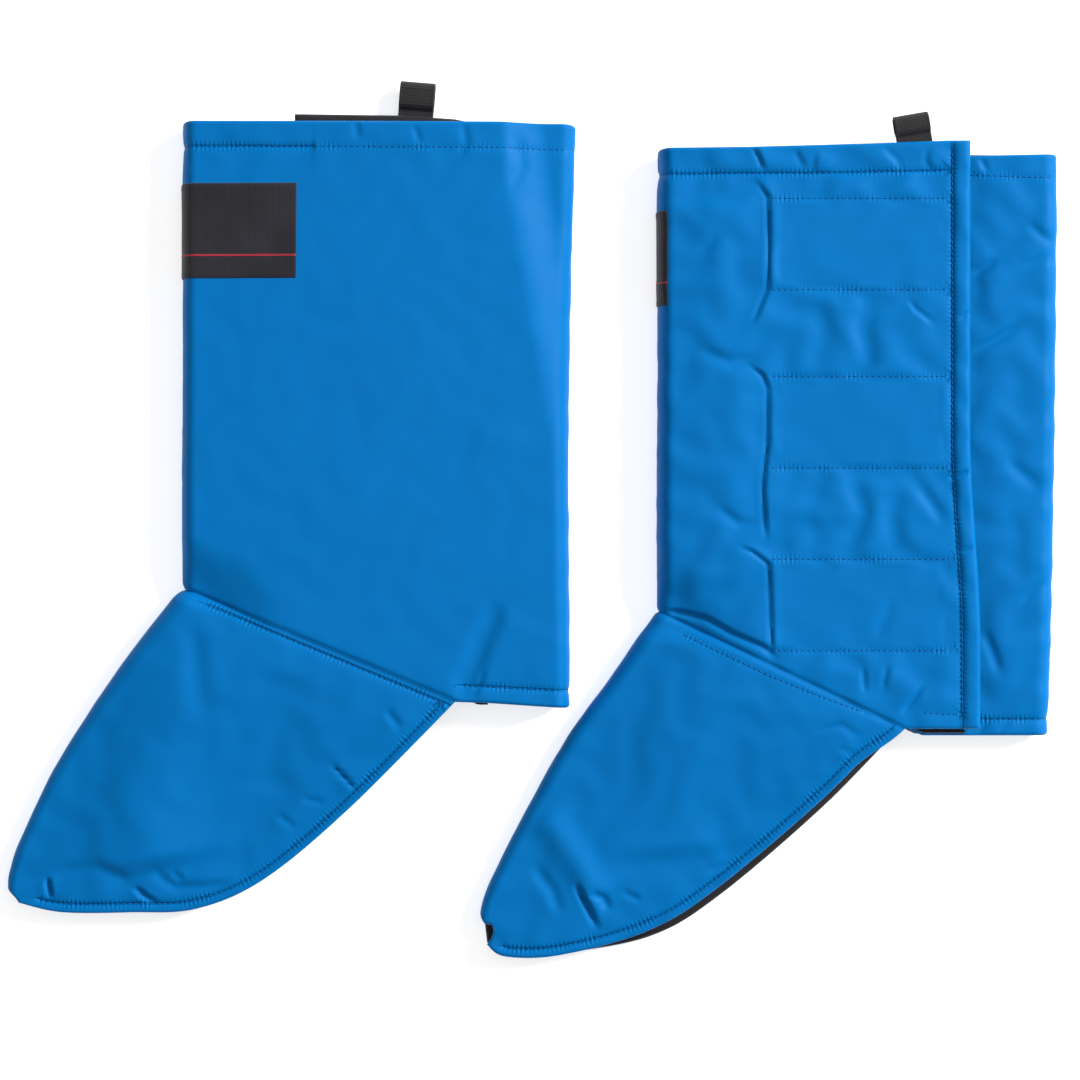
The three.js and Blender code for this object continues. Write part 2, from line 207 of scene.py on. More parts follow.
def near(x, y, line):
    """Distance from each point to a line in plan, more than 0 on its left, and how far along
    the line it is nearest."""
    line = np.array(line, float)
    best = np.full(x.shape, 1e9)
    along, turn = np.zeros(x.shape), np.ones(x.shape)
    start = 0.0
    for a, b in zip(line[:-1], line[1:]):
        step = b - a
        length = np.linalg.norm(step)
        if length < 1e-9:
            continue
        t = np.clip(((x - a[0]) * step[0] + (y - a[1]) * step[1]) / length**2, 0, 1)
        d = np.hypot(x - a[0] - t * step[0], y - a[1] - t * step[1])
        closer = d < best
        best = np.where(closer, d, best)
        along = np.where(closer, start + t * length, along)
        side = step[0] * (y - a[1]) - step[1] * (x - a[0])
        turn = np.where(closer, np.where(side < 0, -1, 1), turn)
        start += length
    return best * turn, along


def add_object(name, data):
    thing = bpy.data.objects.new(name, data)
    bpy.context.scene.collection.objects.link(thing)
    return thing


# ---- the gaiter's plan and heights ----
def outer_side_z(x):
    return LOW + LABEL_RELIEF * (1 - smooth(*RELIEF_ENDS, x))


def flap_side_z(x):
    return mix(FOLD, FLAP, smooth(*TAPE_RISE, x))


def leg_ceiling(x):
    return flap_side_z(x) + HALF - smooth(*ROLL_DOWN, x) * (FLAP - FOLD)


def seam_y(g, x):
    (ax, ay), (bx, by) = g["instep"], g["heel"]
    return mix(ay, by, (x - ax) / (bx - ax))


def edge_y(g, edge, x):
    """Height in plan of one of a gaiter's top or bottom edges."""
    corners = np.array(g[edge], float)
    return np.interp(x, corners[:, 0], corners[:, 1])


def back_fold(g, v):
    return g["width"] - g["heel_taper"] * v * v - g["waist"] * np.sin(np.pi * v)


def flap_edge(v):
    return mix(FLAP_EDGE[0], FLAP_EDGE[1], smooth(FLAP_EDGE[2], FLAP_EDGE[3], v))


FRONT_RADIUS = (FOLD - LOW - LABEL_RELIEF) / 2
FRONT_CENTRE = (FRONT_RADIUS + HALF, FOLD - FRONT_RADIUS)
FRONT_ARC = FRONT_RADIUS * math.pi / 2
BACK_RADIUS = (FOLD - LOW) / 2
BACK_ARC = BACK_RADIUS * math.pi


def flap_side_section(reach, v):
    """x and z on the middle of the flap side, at a distance from the front of the front fold."""
    turn = np.clip(reach / FRONT_RADIUS, 0, math.pi / 2)
    cx, cz = FRONT_CENTRE
    flat = np.maximum(reach - FRONT_ARC, 0) * (flap_edge(v) - cx) / (FLAP_EDGE[0] - cx)
    x = cx - FRONT_RADIUS * np.cos(turn) + flat
    z = np.where(reach < FRONT_ARC, cz + FRONT_RADIUS * np.sin(turn), flap_side_z(x))
    return x, z


def outer_side_section(g, reach, v):
    """x, z and side on the middle of the rest of the leg, from the front of the front fold
    round the back fold to the underlap's free edge. side is 0 outside and 1 on the underlap."""
    cx, cz = FRONT_CENTRE
    back = back_fold(g, v) - BACK_RADIUS - HALF
    flat = g["width"] - BACK_RADIUS - HALF - cx
    under = g["width"] - BACK_RADIUS - HALF - UNDERLAP_EDGE
    at_back = FRONT_ARC + flat
    at_under = at_back + BACK_ARC
    front_turn = np.clip(reach / FRONT_RADIUS, 0, math.pi / 2)
    back_turn = np.clip((reach - at_back) / BACK_RADIUS, 0, math.pi)
    x = cx - FRONT_RADIUS * np.cos(front_turn)
    x = x + np.clip(reach - FRONT_ARC, 0, flat) * (back - cx) / flat
    x = x + BACK_RADIUS * np.sin(back_turn)
    x = x - np.maximum(reach - at_under, 0) * (back - UNDERLAP_EDGE) / under
    z = np.where(reach < FRONT_ARC, cz - FRONT_RADIUS * np.sin(front_turn), outer_side_z(x))
    z = np.where(reach > at_back, LOW + BACK_RADIUS * (1 - np.cos(back_turn)), z)
    return x, z, smooth(at_back, at_under, reach)


# The fill behind the front fold: its share of the step up to the flap, how far back it is
# round, and how far above the ankle seam it starts to come down.
FRONT_FILL = 0.9
FRONT_ROUND = 6.5
ANKLE_FADE = 34.0
# Where the ridge on the left gaiter's outer side runs, as heights and how far back it is.
RIDGE_Y = (-330, -175, -88, -32, 0)
RIDGE_X = (216, 207, 191, 180, 176)


def front_puff(g, x, y):
    """How far the wall that faces up fills out the slope behind the front fold. It starts at
    the front of the fold and comes down to the ankle seam."""
    rounded = np.sqrt(1 - (1 - np.clip((x - HALF) / FRONT_ROUND, 0, 1)) ** 2)
    filled = FRONT_FILL * (FLAP - FOLD) * (rounded - smooth(*TAPE_RISE, x))
    return filled * smooth(0, ANKLE_FADE, y - seam_y(g, x))


def outer_bulge(g, x, y):
    """How far the left gaiter's outer side stands up. A ridge that runs down and back holds it
    up, and past the ridge it falls to the back fold."""
    if g["flap_up"]:
        return np.zeros(x.shape)
    ridge = np.interp(y, RIDGE_Y, RIDGE_X)
    past = smooth(-5, 24, x - ridge)
    crown = 0.9 * (1 - past) * smooth(10, 110, x) * smooth(0, 90, y - seam_y(g, x))
    facet = (FLAP - FOLD) * (smooth(*ROLL_DOWN, x) - past) * smooth(-4, 4, x - ROLL_DOWN[0])
    return front_puff(g, x, y) + crown + facet


def outer_side_length(g):
    back = g["width"] - BACK_RADIUS - HALF
    return FRONT_ARC + back - FRONT_CENTRE[0] + BACK_ARC + back - UNDERLAP_EDGE


# ---- stitch lines, in plan ----
def sole_lines(g):
    start = (g["heel"][0], g["heel"][1])
    return spline([g["instep"], *g["spine"]]), spline([start, *g["sole"]])


def flap_stitches(g):
    """Lines of stitches by name. Names that end in _faint or _soft pull the cloth down less."""
    v = np.linspace(0.02, 0.98, 40)
    roll = np.stack([flap_edge(v) - ROLL, mix(edge_y(g, "flap_top", FLAP_EDGE[0]), g["heel"][1], v)], 1)
    hem_end = FLAP_EDGE[0] - ROLL - 3
    lines = {
        "hem": [(3.0, -14.5), (80, -14.2), (hem_end, edge_y(g, "flap_top", hem_end) - 16.5)],
        "roll_soft": roll,
        "heel_faint": [(g["heel"][0] + 10, g["heel"][1] + 9), (flap_edge(1) - ROLL, g["heel"][1] + 8)],
    }
    for name, top in PATCH_TOPS.items():
        for edge, y in (("top", top), ("bottom", top - PATCH["height"])):
            lines[f"patch_{name}_{edge}_faint"] = [(PATCH["front"], y), (PATCH["back"] + 3, y)]
    return lines


def outer_stitches(g):
    width = g["width"]
    hem_drop = lambda x: -14.0 - 1.5 * x / width
    return {
        "hem": [(2.0, hem_drop(2)), (74, hem_drop(74))],
        "hem_faint": [(74, hem_drop(74)), (width - 4, hem_drop(width - 4))],
        "heel": [(g["heel"][0] + 4, HEEL_HEM + 13), (width - g["heel_taper"] - 3, HEEL_HEM + 10)],
    }


def underlap_stitches(g):
    width = g["width"]
    f, b, top = UNDERLAP_EDGE + 4, LOOP_PANEL["back"] - 1.5, LOOP_PANEL["top"] - 1.5
    return {
        "hem_faint": [(UNDERLAP_EDGE + 4, -10.0), (width - 4, -16.0)],
        "heel": [(b + 3, HEEL_HEM + 9), (width - g["heel_taper"] - 3, HEEL_HEM + 9)],
        "panel_faint": [(b, HEEL_HEM + 14), (b, top), (f, top), (f, seam_y(g, f) + 5)],
    }


def vamp_stitches(g, upper):
    _, sole = sole_lines(g)
    (ax, _), (bx, _) = g["instep"], g["heel"]
    step = np.gradient(sole, axis=0)
    step /= np.linalg.norm(step, axis=1)[:, None]
    inward = np.stack([step[:, 1], -step[:, 0]], 1)
    inset = 5.0 + (sole_inset(np.linspace(0, 1, len(sole))) if upper else np.zeros(len(sole)))
    drops = ((14, 6.3), (61, 6.0), (88, 4.2), (113, 1.6)) if upper else ((12, 3.4), (bx - ax - 4, 3.4))
    return {
        "ankle_faint" if upper else "ankle": [(ax + x, seam_y(g, ax + x) - drop) for x, drop in drops],
        "sole": (sole + inward * inset[:, None])[8:-14],
    }


def sole_inset(u):
    return 5.6 * smooth(0, 0.12, u) * (1 - smooth(0.6, 0.9, u))


# ---- relief of the outer faces: quilting, creases and the buckles of spare cloth ----

# A crease is a line, its depth and width, and how far the cloth stands up on the line's
# left and on its right.
CREASES = {}

CREASES["right_flap"] = [
    ([(32, -24), (34, -120), (32, -244)], -0.8, 17, 0.0, 0.0),
    ([(51, 1), (55, -6), (58, -14)], 0.8, 1.2, 0.9, 0.0),
    (
        [(50, -17), (55, -21), (59.7, -27), (60.2, -52), (59.7, -77), (55, -88), (50, -99)],
        0.55, 1.2, 1.2, 0.2,
    ),
    (
        [(47, -118), (57, -125), (59.7, -132), (59.7, -160), (58, -174), (57, -188), (59, -218)],
        0.55, 1.2, 1.2, 0.1,
    ),
    ([(42, -218), (52, -222), (60, -228), (61, -248), (62, -280)], 0.6, 1.2, 1.2, 0.1),
    ([(1, -254), (15, -255), (27, -258), (42, -267), (58, -274), (66, -281)], 1.3, 1.5, 0.8, 0.3),
    ([(146, -294), (132, -311)], 1.2, 1.2, 0.0, 0.9),
    ([(164, -95), (171, -90)], 1.0, 1.0, 0.3, 0.4),
    ([(158, -182), (172, -177)], 1.6, 1.1, 0.3, 0.6),
    ([(164, -222), (173, -219)], 0.7, 1.1, 0.2, 0.3),
    ([(136, -82), (141, -89), (152, -97)], 0.5, 1.3, 0.2, 0.9),
    ([(74, -1), (80, -12)], 0.4, 1.5, 0.5, 0.0),
    ([(86, -2), (84, -14)], 0.3, 1.5, 0.5, 0.1),
    ([(122, 1), (131, -7), (135, -15)], 0.4, 1.8, 0.0, 0.6),
    ([(148, 1), (146, -8), (152, -15)], 0.4, 1.5, 0.5, 0.2),
    ([(112, -283), (113, -300)], 0.6, 1.3, 0.4, 0.4),
    ([(126, -282), (122, -298)], 0.6, 1.4, 0.4, 0.3),
    ([(118, -272), (124, -258), (130, -246)], 0.4, 3.2, 0.3, 0.2),
    ([(86, -80), (92, -101), (84, -124)], 0.3, 5.5, 0.2, 0.3),
    ([(117, -79), (112, -102), (117, -124)], 0.5, 5.0, 0.3, 0.5),
    ([(88, -179), (82, -202), (90, -224)], 0.3, 5.5, 0.2, 0.2),
    ([(106, -178), (112, -200), (103, -224)], 0.4, 4.5, 0.4, 0.3),
    ([(134, -180), (127, -203), (131, -224)], 0.4, 5.0, 0.3, 0.4),
    ([(20, -110), (40, -118), (56, -114)], 0.4, 3.0, 0.5, 0.2),
    ([(30, -196), (44, -206), (56, -206)], 0.4, 2.6, 0.5, 0.2),
    ([(22, -60), (34, -46)], 0.3, 3.0, 0.3, 0.3),
    ([(140, -182), (149, -194), (158, -208)], 0.5, 3.0, 0.3, 0.5),
]
CREASES["left_flap"] = [
    ([(56, -6), (59, -20), (60, -60), (59, -98)], 1.3, 1.5, 1.0, 0.2),
    ([(50, -112), (60, -126), (60, -176), (60, -222), (61, -280)], 1.3, 1.5, 1.0, 0.2),
    ([(3, -257), (20, -261), (44, -274)], 1.6, 1.7, 0.8, 0.3),
    ([(140, -290), (130, -309)], 1.0, 1.2, 0.4, 0.6),
    ([(160, -140), (172, -135)], 1.2, 1.1, 0.3, 0.5),
]
CREASES["right_underlap"] = [
    ([(172, -112), (186, -105), (202, -95)], 0.7, 2.4, 0.6, 0.5),
    ([(172, -70), (188, -60)], 0.6, 2.4, 0.4, 0.5),
    ([(202, -40), (218, -53)], 0.4, 2.2, 0.4, 0.4),
    ([(200, -66), (217, -58)], 0.3, 2.4, 0.3, 0.4),
    ([(177, -4), (182, -14)], 0.5, 1.5, 0.3, 0.6),
    ([(178, -262), (184, -276), (189, -292)], 0.5, 2.4, 0.5, 0.5),
    ([(198, -250), (214, -236)], 0.4, 2.6, 0.4, 0.4),
    ([(176, -321), (184, -312)], 0.5, 1.2, 0.3, 0.4),
    ([(186, -321), (196, -312)], 0.4, 1.2, 0.3, 0.4),
    ([(190, -170), (212, -188)], 0.3, 3.0, 0.4, 0.3),
]
CREASES["left_outer"] = [
    ([(96, 1), (98, -12)], 0.3, 1.8, 0.4, 0.2),
    ([(155, 1), (157, -13), (152, -22)], 0.3, 2.0, 0.4, 0.3),
    ([(128, -2), (132, -14)], 0.3, 1.6, 0.3, 0.3),
    ([(184, -4), (186, -26), (180, -40)], 0.3, 3.0, 0.5, 0.3),
    ([(176, -262), (165, -286), (153, -319)], 0.9, 5.0, 0.9, 0.4),
    ([(168, -300), (160, -317)], 0.5, 1.5, 0.3, 0.3),
    ([(160, -165), (188, -182)], -0.4, 13, 0.0, 0.0),
]
CREASES["right_outer"] = [
    ([(60, 0), (64, -14)], 0.5, 1.3, 0.5, 0.2),
    ([(150, 0), (154, -13)], 0.5, 1.5, 0.5, 0.3),
    ([(140, -280), (134, -300), (132, -314)], 0.8, 1.8, 0.2, 0.8),
]
CREASES["left_vamp_outer"] = [
    ([(8, -256), (-12, -330), (-21, -380), (-14, -414)], -3.0, 28, 0.0, 0.0),
    ([(81, -351), (90, -360), (99, -370)], 1.0, 1.1, 0.7, 0.4),
    ([(-74, -415), (-72, -428)], 2.2, 1.3, 0.9, 0.7),
    ([(-27, -420), (-20, -426), (-12, -431)], 2.2, 1.4, 0.4, 0.9),
    ([(-73, -417), (-62, -412), (-46, -410), (-34, -415), (-26, -422)], 0.5, 3.6, 0.4, 0.0),
    ([(-16, -408), (-11, -416), (-3, -421), (12, -421), (29, -418)], 0.7, 2.6, 0.5, 0.0),
    ([(-6, -412), (2, -418)], 0.5, 1.8, 0.4, 0.2),
    ([(7, -274), (9, -296), (14, -330)], 0.3, 5.5, 0.3, 0.2),
    ([(58, -300), (54, -335), (46, -372)], 0.5, 13, 0.0, 0.0),
    ([(112, -322), (122, -334)], 0.6, 1.8, 0.4, 0.5),
    ([(66, -372), (80, -374)], 0.5, 1.6, 0.4, 0.3),
    ([(52, -380), (64, -389)], 0.4, 1.6, 0.4, 0.3),
]
CREASES["right_vamp_outer"] = [
    ([(60, -376), (74, -372)], 0.7, 1.3, 0.4, 0.5),
    ([(-60, -420), (-54, -434)], 1.6, 1.3, 0.6, 0.6),
    ([(-20, -420), (-10, -430)], 1.6, 1.3, 0.6, 0.6),
]
CREASES["right_vamp_flap"] = [
    ([(12, -262), (6, -330), (14, -392)], -1.3, 28, 0.0, 0.0),
    ([(-66, -362), (-46, -390), (-30, -416)], -1.5, 9, 0.0, 0.0),
    ([(-46, -402), (-40, -414), (-32, -431)], 2.2, 1.5, 1.2, 0.0),
    ([(-38, -408), (-30, -412), (-26, -420)], 1.0, 2.2, 0.4, 0.9),
    ([(-70, -392), (-58, -408), (-52, -424)], 0.5, 3.0, 0.4, 0.5),
    ([(-20, -408), (-8, -414)], 0.5, 1.6, 0.5, 0.2),
    ([(86, -320), (100, -316), (112, -324)], 0.5, 1.6, 0.3, 0.4),
    ([(98, -328), (110, -334)], 0.4, 1.4, 0.3, 0.4),
    ([(40, -392), (28, -398)], 0.4, 1.8, 0.3, 0.4),
    ([(44, -300), (40, -340), (26, -384)], 0.4, 12, 0.0, 0.0),
]
CREASES["left_vamp_flap"] = [
    ([(-50, -400), (-42, -428)], 1.8, 1.5, 1.0, 0.0),
    ([(30, -400), (20, -412)], 0.7, 1.6, 0.4, 0.5),
]
CREASES["left_underlap"] = [
    ([(178, -100), (200, -90)], 0.6, 2.4, 0.5, 0.5),
    ([(180, -240), (204, -256)], 0.6, 2.4, 0.5, 0.5),
]


CREASE_RISE = 1.5


def crease(x, y, line, depth, width, left, right):
    distance, along = near(x, y, line)
    total = np.linalg.norm(np.diff(np.array(line, float), axis=0), axis=1).sum()
    fade = min(0.35 * total, 12)
    ends = smooth(0, fade, along) * (1 - smooth(total - fade, total, along))
    beside = np.where(distance > 0, left, right) * smooth(0.2 * width, 2.2 * width, np.abs(distance))
    raised = beside * np.exp(-np.abs(distance) / (3.2 * width))
    return CREASE_RISE * ends * (raised - depth * bell(distance, width))


def creased(name, x, y):
    return sum((crease(x, y, *each) for each in CREASES[name]), np.zeros(x.shape))


# How hard a stitch line pulls the cloth down, by the last word of its name.
PULLS = {"faint": 0.25, "soft": 0.6}


def seam_field(x, y, lines):
    """Distance to the nearest stitch line, more than 0 on its left, the place along it, and
    how hard it pulls there."""
    gap, run, pull = np.full(x.shape, 99.0), np.zeros(x.shape), np.zeros(x.shape)
    for k, (name, line) in enumerate(lines.items()):
        distance, along = near(x, y, line)
        closer = np.abs(distance) < np.abs(gap)
        gap = np.where(closer, distance, gap)
        run = np.where(closer, along + 400 * k, run)
        pull = np.where(closer, PULLS.get(name.split("_")[-1], 1.0), pull)
    return gap, run, pull


# The deepest hollow, the height of the stuffed roll, the simulation's cell and its length
# of one unit, its steps, how hard the batting holds the cloth, and the spare cloth's share.
DEEPEST = 1.9
ROLL_RISE = 1.7
CELL = 2.8
UNIT = 20.0
SWELL_FRAMES = 22
BATTING_HOLD = 0.3
SPARE_CLOTH = 0.012


def within(x, y, outline):
    """Which points are inside a closed outline."""
    inside = np.zeros(x.shape, bool)
    for (ax, ay), (bx, by) in zip(outline, np.roll(outline, -1, axis=0)):
        crosses = (ay > y) != (by > y)
        with np.errstate(divide="ignore", invalid="ignore"):
            inside ^= crosses & (x < (bx - ax) * (y - ay) / (by - ay) + ax)
    return inside


def swell(faces):
    """Each face is cut larger than the place it is sewn into, and held along its stitch lines
    and edges. A cloth simulation finds the buckles that take up the spare. Returns the
    height of every face on its own grid."""
    points, quads, grids = [], [], {}
    for name, face in faces.items():
        x0, x1, y0, y1 = face["span"]
        xs, ys = np.arange(x0, x1 + CELL, CELL), np.arange(y0, y1 + CELL, CELL)
        x, y = np.meshgrid(xs, ys)
        z = 0.25 * cloud(x, y, 11, face["seed"]) + 0.5 * creased(name, x, y)
        first = sum(len(p) for p in points)
        index = np.arange(x.size).reshape(x.shape) + first
        corners = [index[:-1, :-1], index[:-1, 1:], index[1:, 1:], index[1:, :-1]]
        quads.append(np.stack(corners, -1).reshape(-1, 4))
        points.append(np.stack([x, y, z], -1).reshape(-1, 3) / UNIT)
        grids[name] = (xs, ys, index, x, y)
    mesh = bpy.data.meshes.new("swell")
    mesh.from_pydata(np.concatenate(points).tolist(), [], np.concatenate(quads).tolist())
    cloth = add_object("swell", mesh)
    held = cloth.vertex_groups.new(name="held")
    for name, face in faces.items():
        _, _, index, x, y = grids[name]
        gap = seam_field(x, y, face["lines"])[0]
        fixed = (np.abs(gap) < 0.55 * CELL) | ~within(x, y, face["outline"])
        fixed[[0, -1], :] = True
        fixed[:, [0, -1]] = True
        held.add(index.ravel().tolist(), BATTING_HOLD, "REPLACE")
        held.add(index[fixed].tolist(), 1.0, "REPLACE")
    modifier = cloth.modifiers.new("swell", "CLOTH")
    settings = modifier.settings
    settings.quality = 5
    settings.mass = 0.15
    settings.air_damping = 2.0
    settings.tension_stiffness = settings.compression_stiffness = 25
    settings.shear_stiffness = 12
    settings.bending_stiffness = 3.0
    settings.vertex_group_mass = "held"
    settings.shrink_min = -SPARE_CLOTH
    settings.effector_weights.gravity = 0
    modifier.collision_settings.use_collision = False
    scene = bpy.context.scene
    modifier.point_cache.frame_start, modifier.point_cache.frame_end = 1, SWELL_FRAMES
    for step in range(1, SWELL_FRAMES + 1):
        scene.frame_set(step)
    swollen = cloth.evaluated_get(bpy.context.evaluated_depsgraph_get()).data
    found = np.zeros(len(swollen.vertices) * 3)
    swollen.vertices.foreach_get("co", found)
    found = found.reshape(-1, 3)[:, 2] * UNIT
    bpy.data.objects.remove(cloth)
    scene.frame_set(1)
    heights = {}
    for name, (xs, ys, index, x, y) in grids.items():
        rise = found[index] - 0.5 * creased(name, x, y)
        rise = np.pad(rise, 1, mode="edge")
        rise = (rise[:-2] + 2 * rise[1:-1] + rise[2:]) / 4
        rise = (rise[:, :-2] + 2 * rise[:, 1:-1] + rise[:, 2:]) / 4
        heights[name] = (xs, ys, rise)
    return heights


# How high each kind of face buckles, next to its stitching and away from it.
BUCKLE = {"flap": (1.1, 0.55), "underlap": (0.9, 0.55), "outer": (0.45, 0.15), "vamp_outer": (0.5, 0.25),
          "vamp_flap": (0.6, 0.3)}


def buckles(name, x, y, gap):
    """Height of a face's buckles."""
    if name not in SWOLLEN:
        return 0.15 * cloud(x, y, 14, 5)
    near_seam, away = BUCKLE[name.split("_", 1)[1]]
    xs, ys, rise = SWOLLEN[name]
    fx = np.clip((x - xs[0]) / CELL, 0, len(xs) - 1.001)
    fy = np.clip((y - ys[0]) / CELL, 0, len(ys) - 1.001)
    ix, iy = fx.astype(int), fy.astype(int)
    top = mix(rise[iy, ix], rise[iy, ix + 1], fx - ix)
    low = mix(rise[iy + 1, ix], rise[iy + 1, ix + 1], fx - ix)
    calm = 1 - 0.75 * over_tape(x, y) if name.endswith("_flap") and "vamp" not in name else 1
    return mix(top, low, fy - iy) * mix(away, near_seam, np.exp(-np.abs(gap) / 9)) * calm


def over_tape(x, y):
    """1 where a hook patch stiffens the flap from behind, 0 elsewhere."""
    front, back, height = PATCH["front"], PATCH["back"], PATCH["height"]
    across = smooth(front + 1, front + 6, x) * (1 - smooth(back - 4, back, x))
    down = np.zeros(x.shape)
    for top in PATCH_TOPS.values():
        down = down + smooth(top - height + 1, top - height + 6, y) * (1 - smooth(top - 6, top - 1, y))
    return across * down


def face_relief(name, x, y, lines):
    """Height of a wall's outer face above its plain place. The wall keeps some thickness."""
    gap, _, pull = seam_field(x, y, lines)
    quilting = -pull * (0.8 * bell(gap, 1.3) + 0.9 * np.exp(-np.abs(gap) / 5.5))
    waves = 0.5 * cloud(x, y, 62, 17, 2)
    height = quilting + creased(name, x, y) + buckles(name, x, y, gap) + waves
    return np.where(height < 0, -DEEPEST * np.tanh(-height / DEEPEST), height)


def flap_relief(g, x, y):
    edge = flap_edge(np.clip(y / g["heel"][1], 0, 1))
    roll = np.sqrt(np.clip(1 - ((x - edge + ROLL / 2 + 0.3) / (ROLL / 2)) ** 2, 0, 1))
    return face_relief(f"{g['side']}_flap", x, y, flap_stitches(g)) + ROLL_RISE * roll


def outer_relief(g, x, y, side):
    outer = face_relief(f"{g['side']}_outer", x, y, outer_stitches(g))
    under = face_relief(f"{g['side']}_underlap", x, y, underlap_stitches(g))
    beside_roll = bell(x - flap_edge(np.clip(y / g["heel"][1], 0, 1)), 8)
    return mix(outer, np.maximum(under - 1.1 * beside_roll, -DEEPEST), side)


def vamp_relief(g, x, y, side):
    outer = face_relief(f"{g['side']}_vamp_outer", x, y, vamp_stitches(g, False))
    flap = face_relief(f"{g['side']}_vamp_flap", x, y, vamp_stitches(g, True))
    return mix(outer, flap, side)


def faces_of(g):
    """The faces that swell: their span and outline in plan, their stitch lines and the seed
    of their first unevenness."""
    side, width = g["side"], g["width"]

    def leg_outline(front, back, top):
        bottom = [(back, HEEL_HEM), (g["heel"][0], HEEL_HEM), (front, seam_y(g, front))]
        return np.array([(front, top), (back, top), *bottom], float)

    spine, sole = sole_lines(g)
    vamp = np.vstack([spine[::20], sole[::-20]])
    (x0, y0), (x1, y1) = vamp.min(axis=0) - 4, vamp.max(axis=0) + 4
    leg_span, vamp_span = (0, width, HEEL_HEM - 3, 4), (x0, x1, y0, y1)
    faces = {
        "flap": ((0, 178, HEEL_HEM - 3, 4), leg_outline(2, 172, 2), flap_stitches(g)),
        "outer": (leg_span, leg_outline(2, width - 2, -1), outer_stitches(g)),
        "underlap": (leg_span, leg_outline(UNDERLAP_EDGE + 2, width - 2, -3), underlap_stitches(g)),
        "vamp_outer": (vamp_span, vamp, vamp_stitches(g, False)),
        "vamp_flap": (vamp_span, vamp, vamp_stitches(g, True)),
    }
    return {
        f"{side}_{name}": {"span": span, "outline": outline, "lines": lines, "seed": g["seed"] + k}
        for k, (name, (span, outline, lines)) in enumerate(faces.items())
    }


SWOLLEN = {}
SWOLLEN = swell({name: face for gaiter in GAITERS.values() for name, face in faces_of(gaiter).items()})


# ---- panels: a middle surface, its outward direction and how it closes at its edges ----
def dome(distance, radius=HALF):
    """Thickness share near a turned edge, which is round."""
    t = np.clip(distance / radius, 0, 1)
    return np.sqrt(np.clip(1 - (1 - t) ** 2, 0.004, 1))


def steps(length, pitch, close=(True, True)):
    """Places along a length, closer together near the ends that are turned edges."""
    places = set(np.round(np.linspace(0, length, int(length / pitch) + 1), 4))
    fine = [0.08, 0.25, 0.5, 0.8, 1.2, 1.7, 2.4]
    if close[0]:
        places |= set(fine)
    if close[1]:
        places |= {length - f for f in fine}
    return np.array(sorted(places))


TABLE_CLEARANCE = 0.05


def make_panel(g, x, y, z, ceiling, sign, thickness, relief, u, v):
    """Lays the middle surface down and finds its outward normals. The relief of a face that
    lies on the table is pressed flat there."""
    if not g["flap_up"]:
        z = ceiling - z
        sign = -sign
    mid = np.stack([x, y, z], -1) + g["corner"]
    down, along = np.gradient(mid, axis=0), np.gradient(mid, axis=1)
    normal = np.cross(along, down) * sign
    normal /= np.maximum(np.linalg.norm(normal, axis=-1, keepdims=True), 1e-9)
    downward = np.maximum(-normal[..., 2], 0.3)
    room = mid[..., 2] / downward - HALF - TABLE_CLEARANCE
    relief = np.where(normal[..., 2] < -0.3, np.minimum(relief, room), relief)
    return {"mid": mid, "normal": normal, "share": thickness, "relief": relief, "u": u, "v": v}


def stitched(panel, seam):
    """Adds the seam's fields. Its pull ends within reach of the line."""
    gap, run, pull = seam
    panel.update(gap=gap, run=run, pull=pull * (1 - smooth(3.5, 6.5, np.abs(gap))))
    return panel


def flap_panel(g, pitch):
    reach = steps(FRONT_ARC + FLAP_EDGE[0] - FRONT_CENTRE[0], pitch)
    fall = steps(abs(g["heel"][1]), pitch) / abs(g["heel"][1])
    s, v = np.meshgrid(reach, fall)
    x, z = flap_side_section(s, v)
    bottom = np.where(x < g["heel"][0], seam_y(g, x), g["heel"][1])
    top = edge_y(g, "flap_top", x)
    y = mix(top, bottom, v)
    if g["flap_up"]:
        z = z + front_puff(g, x, y)
    seam = smooth(g["heel"][0] + 4, g["heel"][0] - 2, x)
    from_bottom = y - bottom
    share = np.minimum(dome(top - y), dome(reach[-1] - s))
    share = np.minimum(share, mix(dome(from_bottom), 1 - 0.5 * bell(from_bottom, 1.8), seam))
    ceiling = leg_ceiling(np.minimum(x, ROLL_DOWN[0]))
    panel = make_panel(g, x, y, z, ceiling, -1, share, flap_relief(g, x, y), s, -y)
    return stitched(panel, seam_field(x, y, flap_stitches(g)))


def outer_panel(g, pitch):
    reach = steps(outer_side_length(g), pitch)
    fall = steps(abs(HEEL_HEM), pitch) / abs(HEEL_HEM)
    s, v = np.meshgrid(reach, fall)
    x, z, side = outer_side_section(g, s, v)
    top = mix(edge_y(g, "outer_top", x), edge_y(g, "underlap_top", x), side)
    seam_edge = np.maximum(edge_y(g, "heel_hem", x), seam_y(g, x) + side)
    y = mix(top, seam_edge, v)
    from_bottom = y - seam_edge
    hem = np.maximum(smooth(g["heel"][0] - 2, g["heel"][0] + 4, x), side)
    share = np.minimum(dome(top - y), dome(reach[-1] - s))
    share = np.minimum(share, mix(1 - 0.5 * bell(from_bottom, 1.8), dome(from_bottom), hem))
    z = z - outer_bulge(g, x, y) * (1 - side)
    panel = make_panel(g, x, y, z, leg_ceiling(x), 1, share, outer_relief(g, x, y, side), s, -y)
    outer, under = seam_field(x, y, outer_stitches(g)), seam_field(x, y, underlap_stitches(g))
    return stitched(panel, (np.where(side < 0.5, a, b) for a, b in zip(outer, under)))


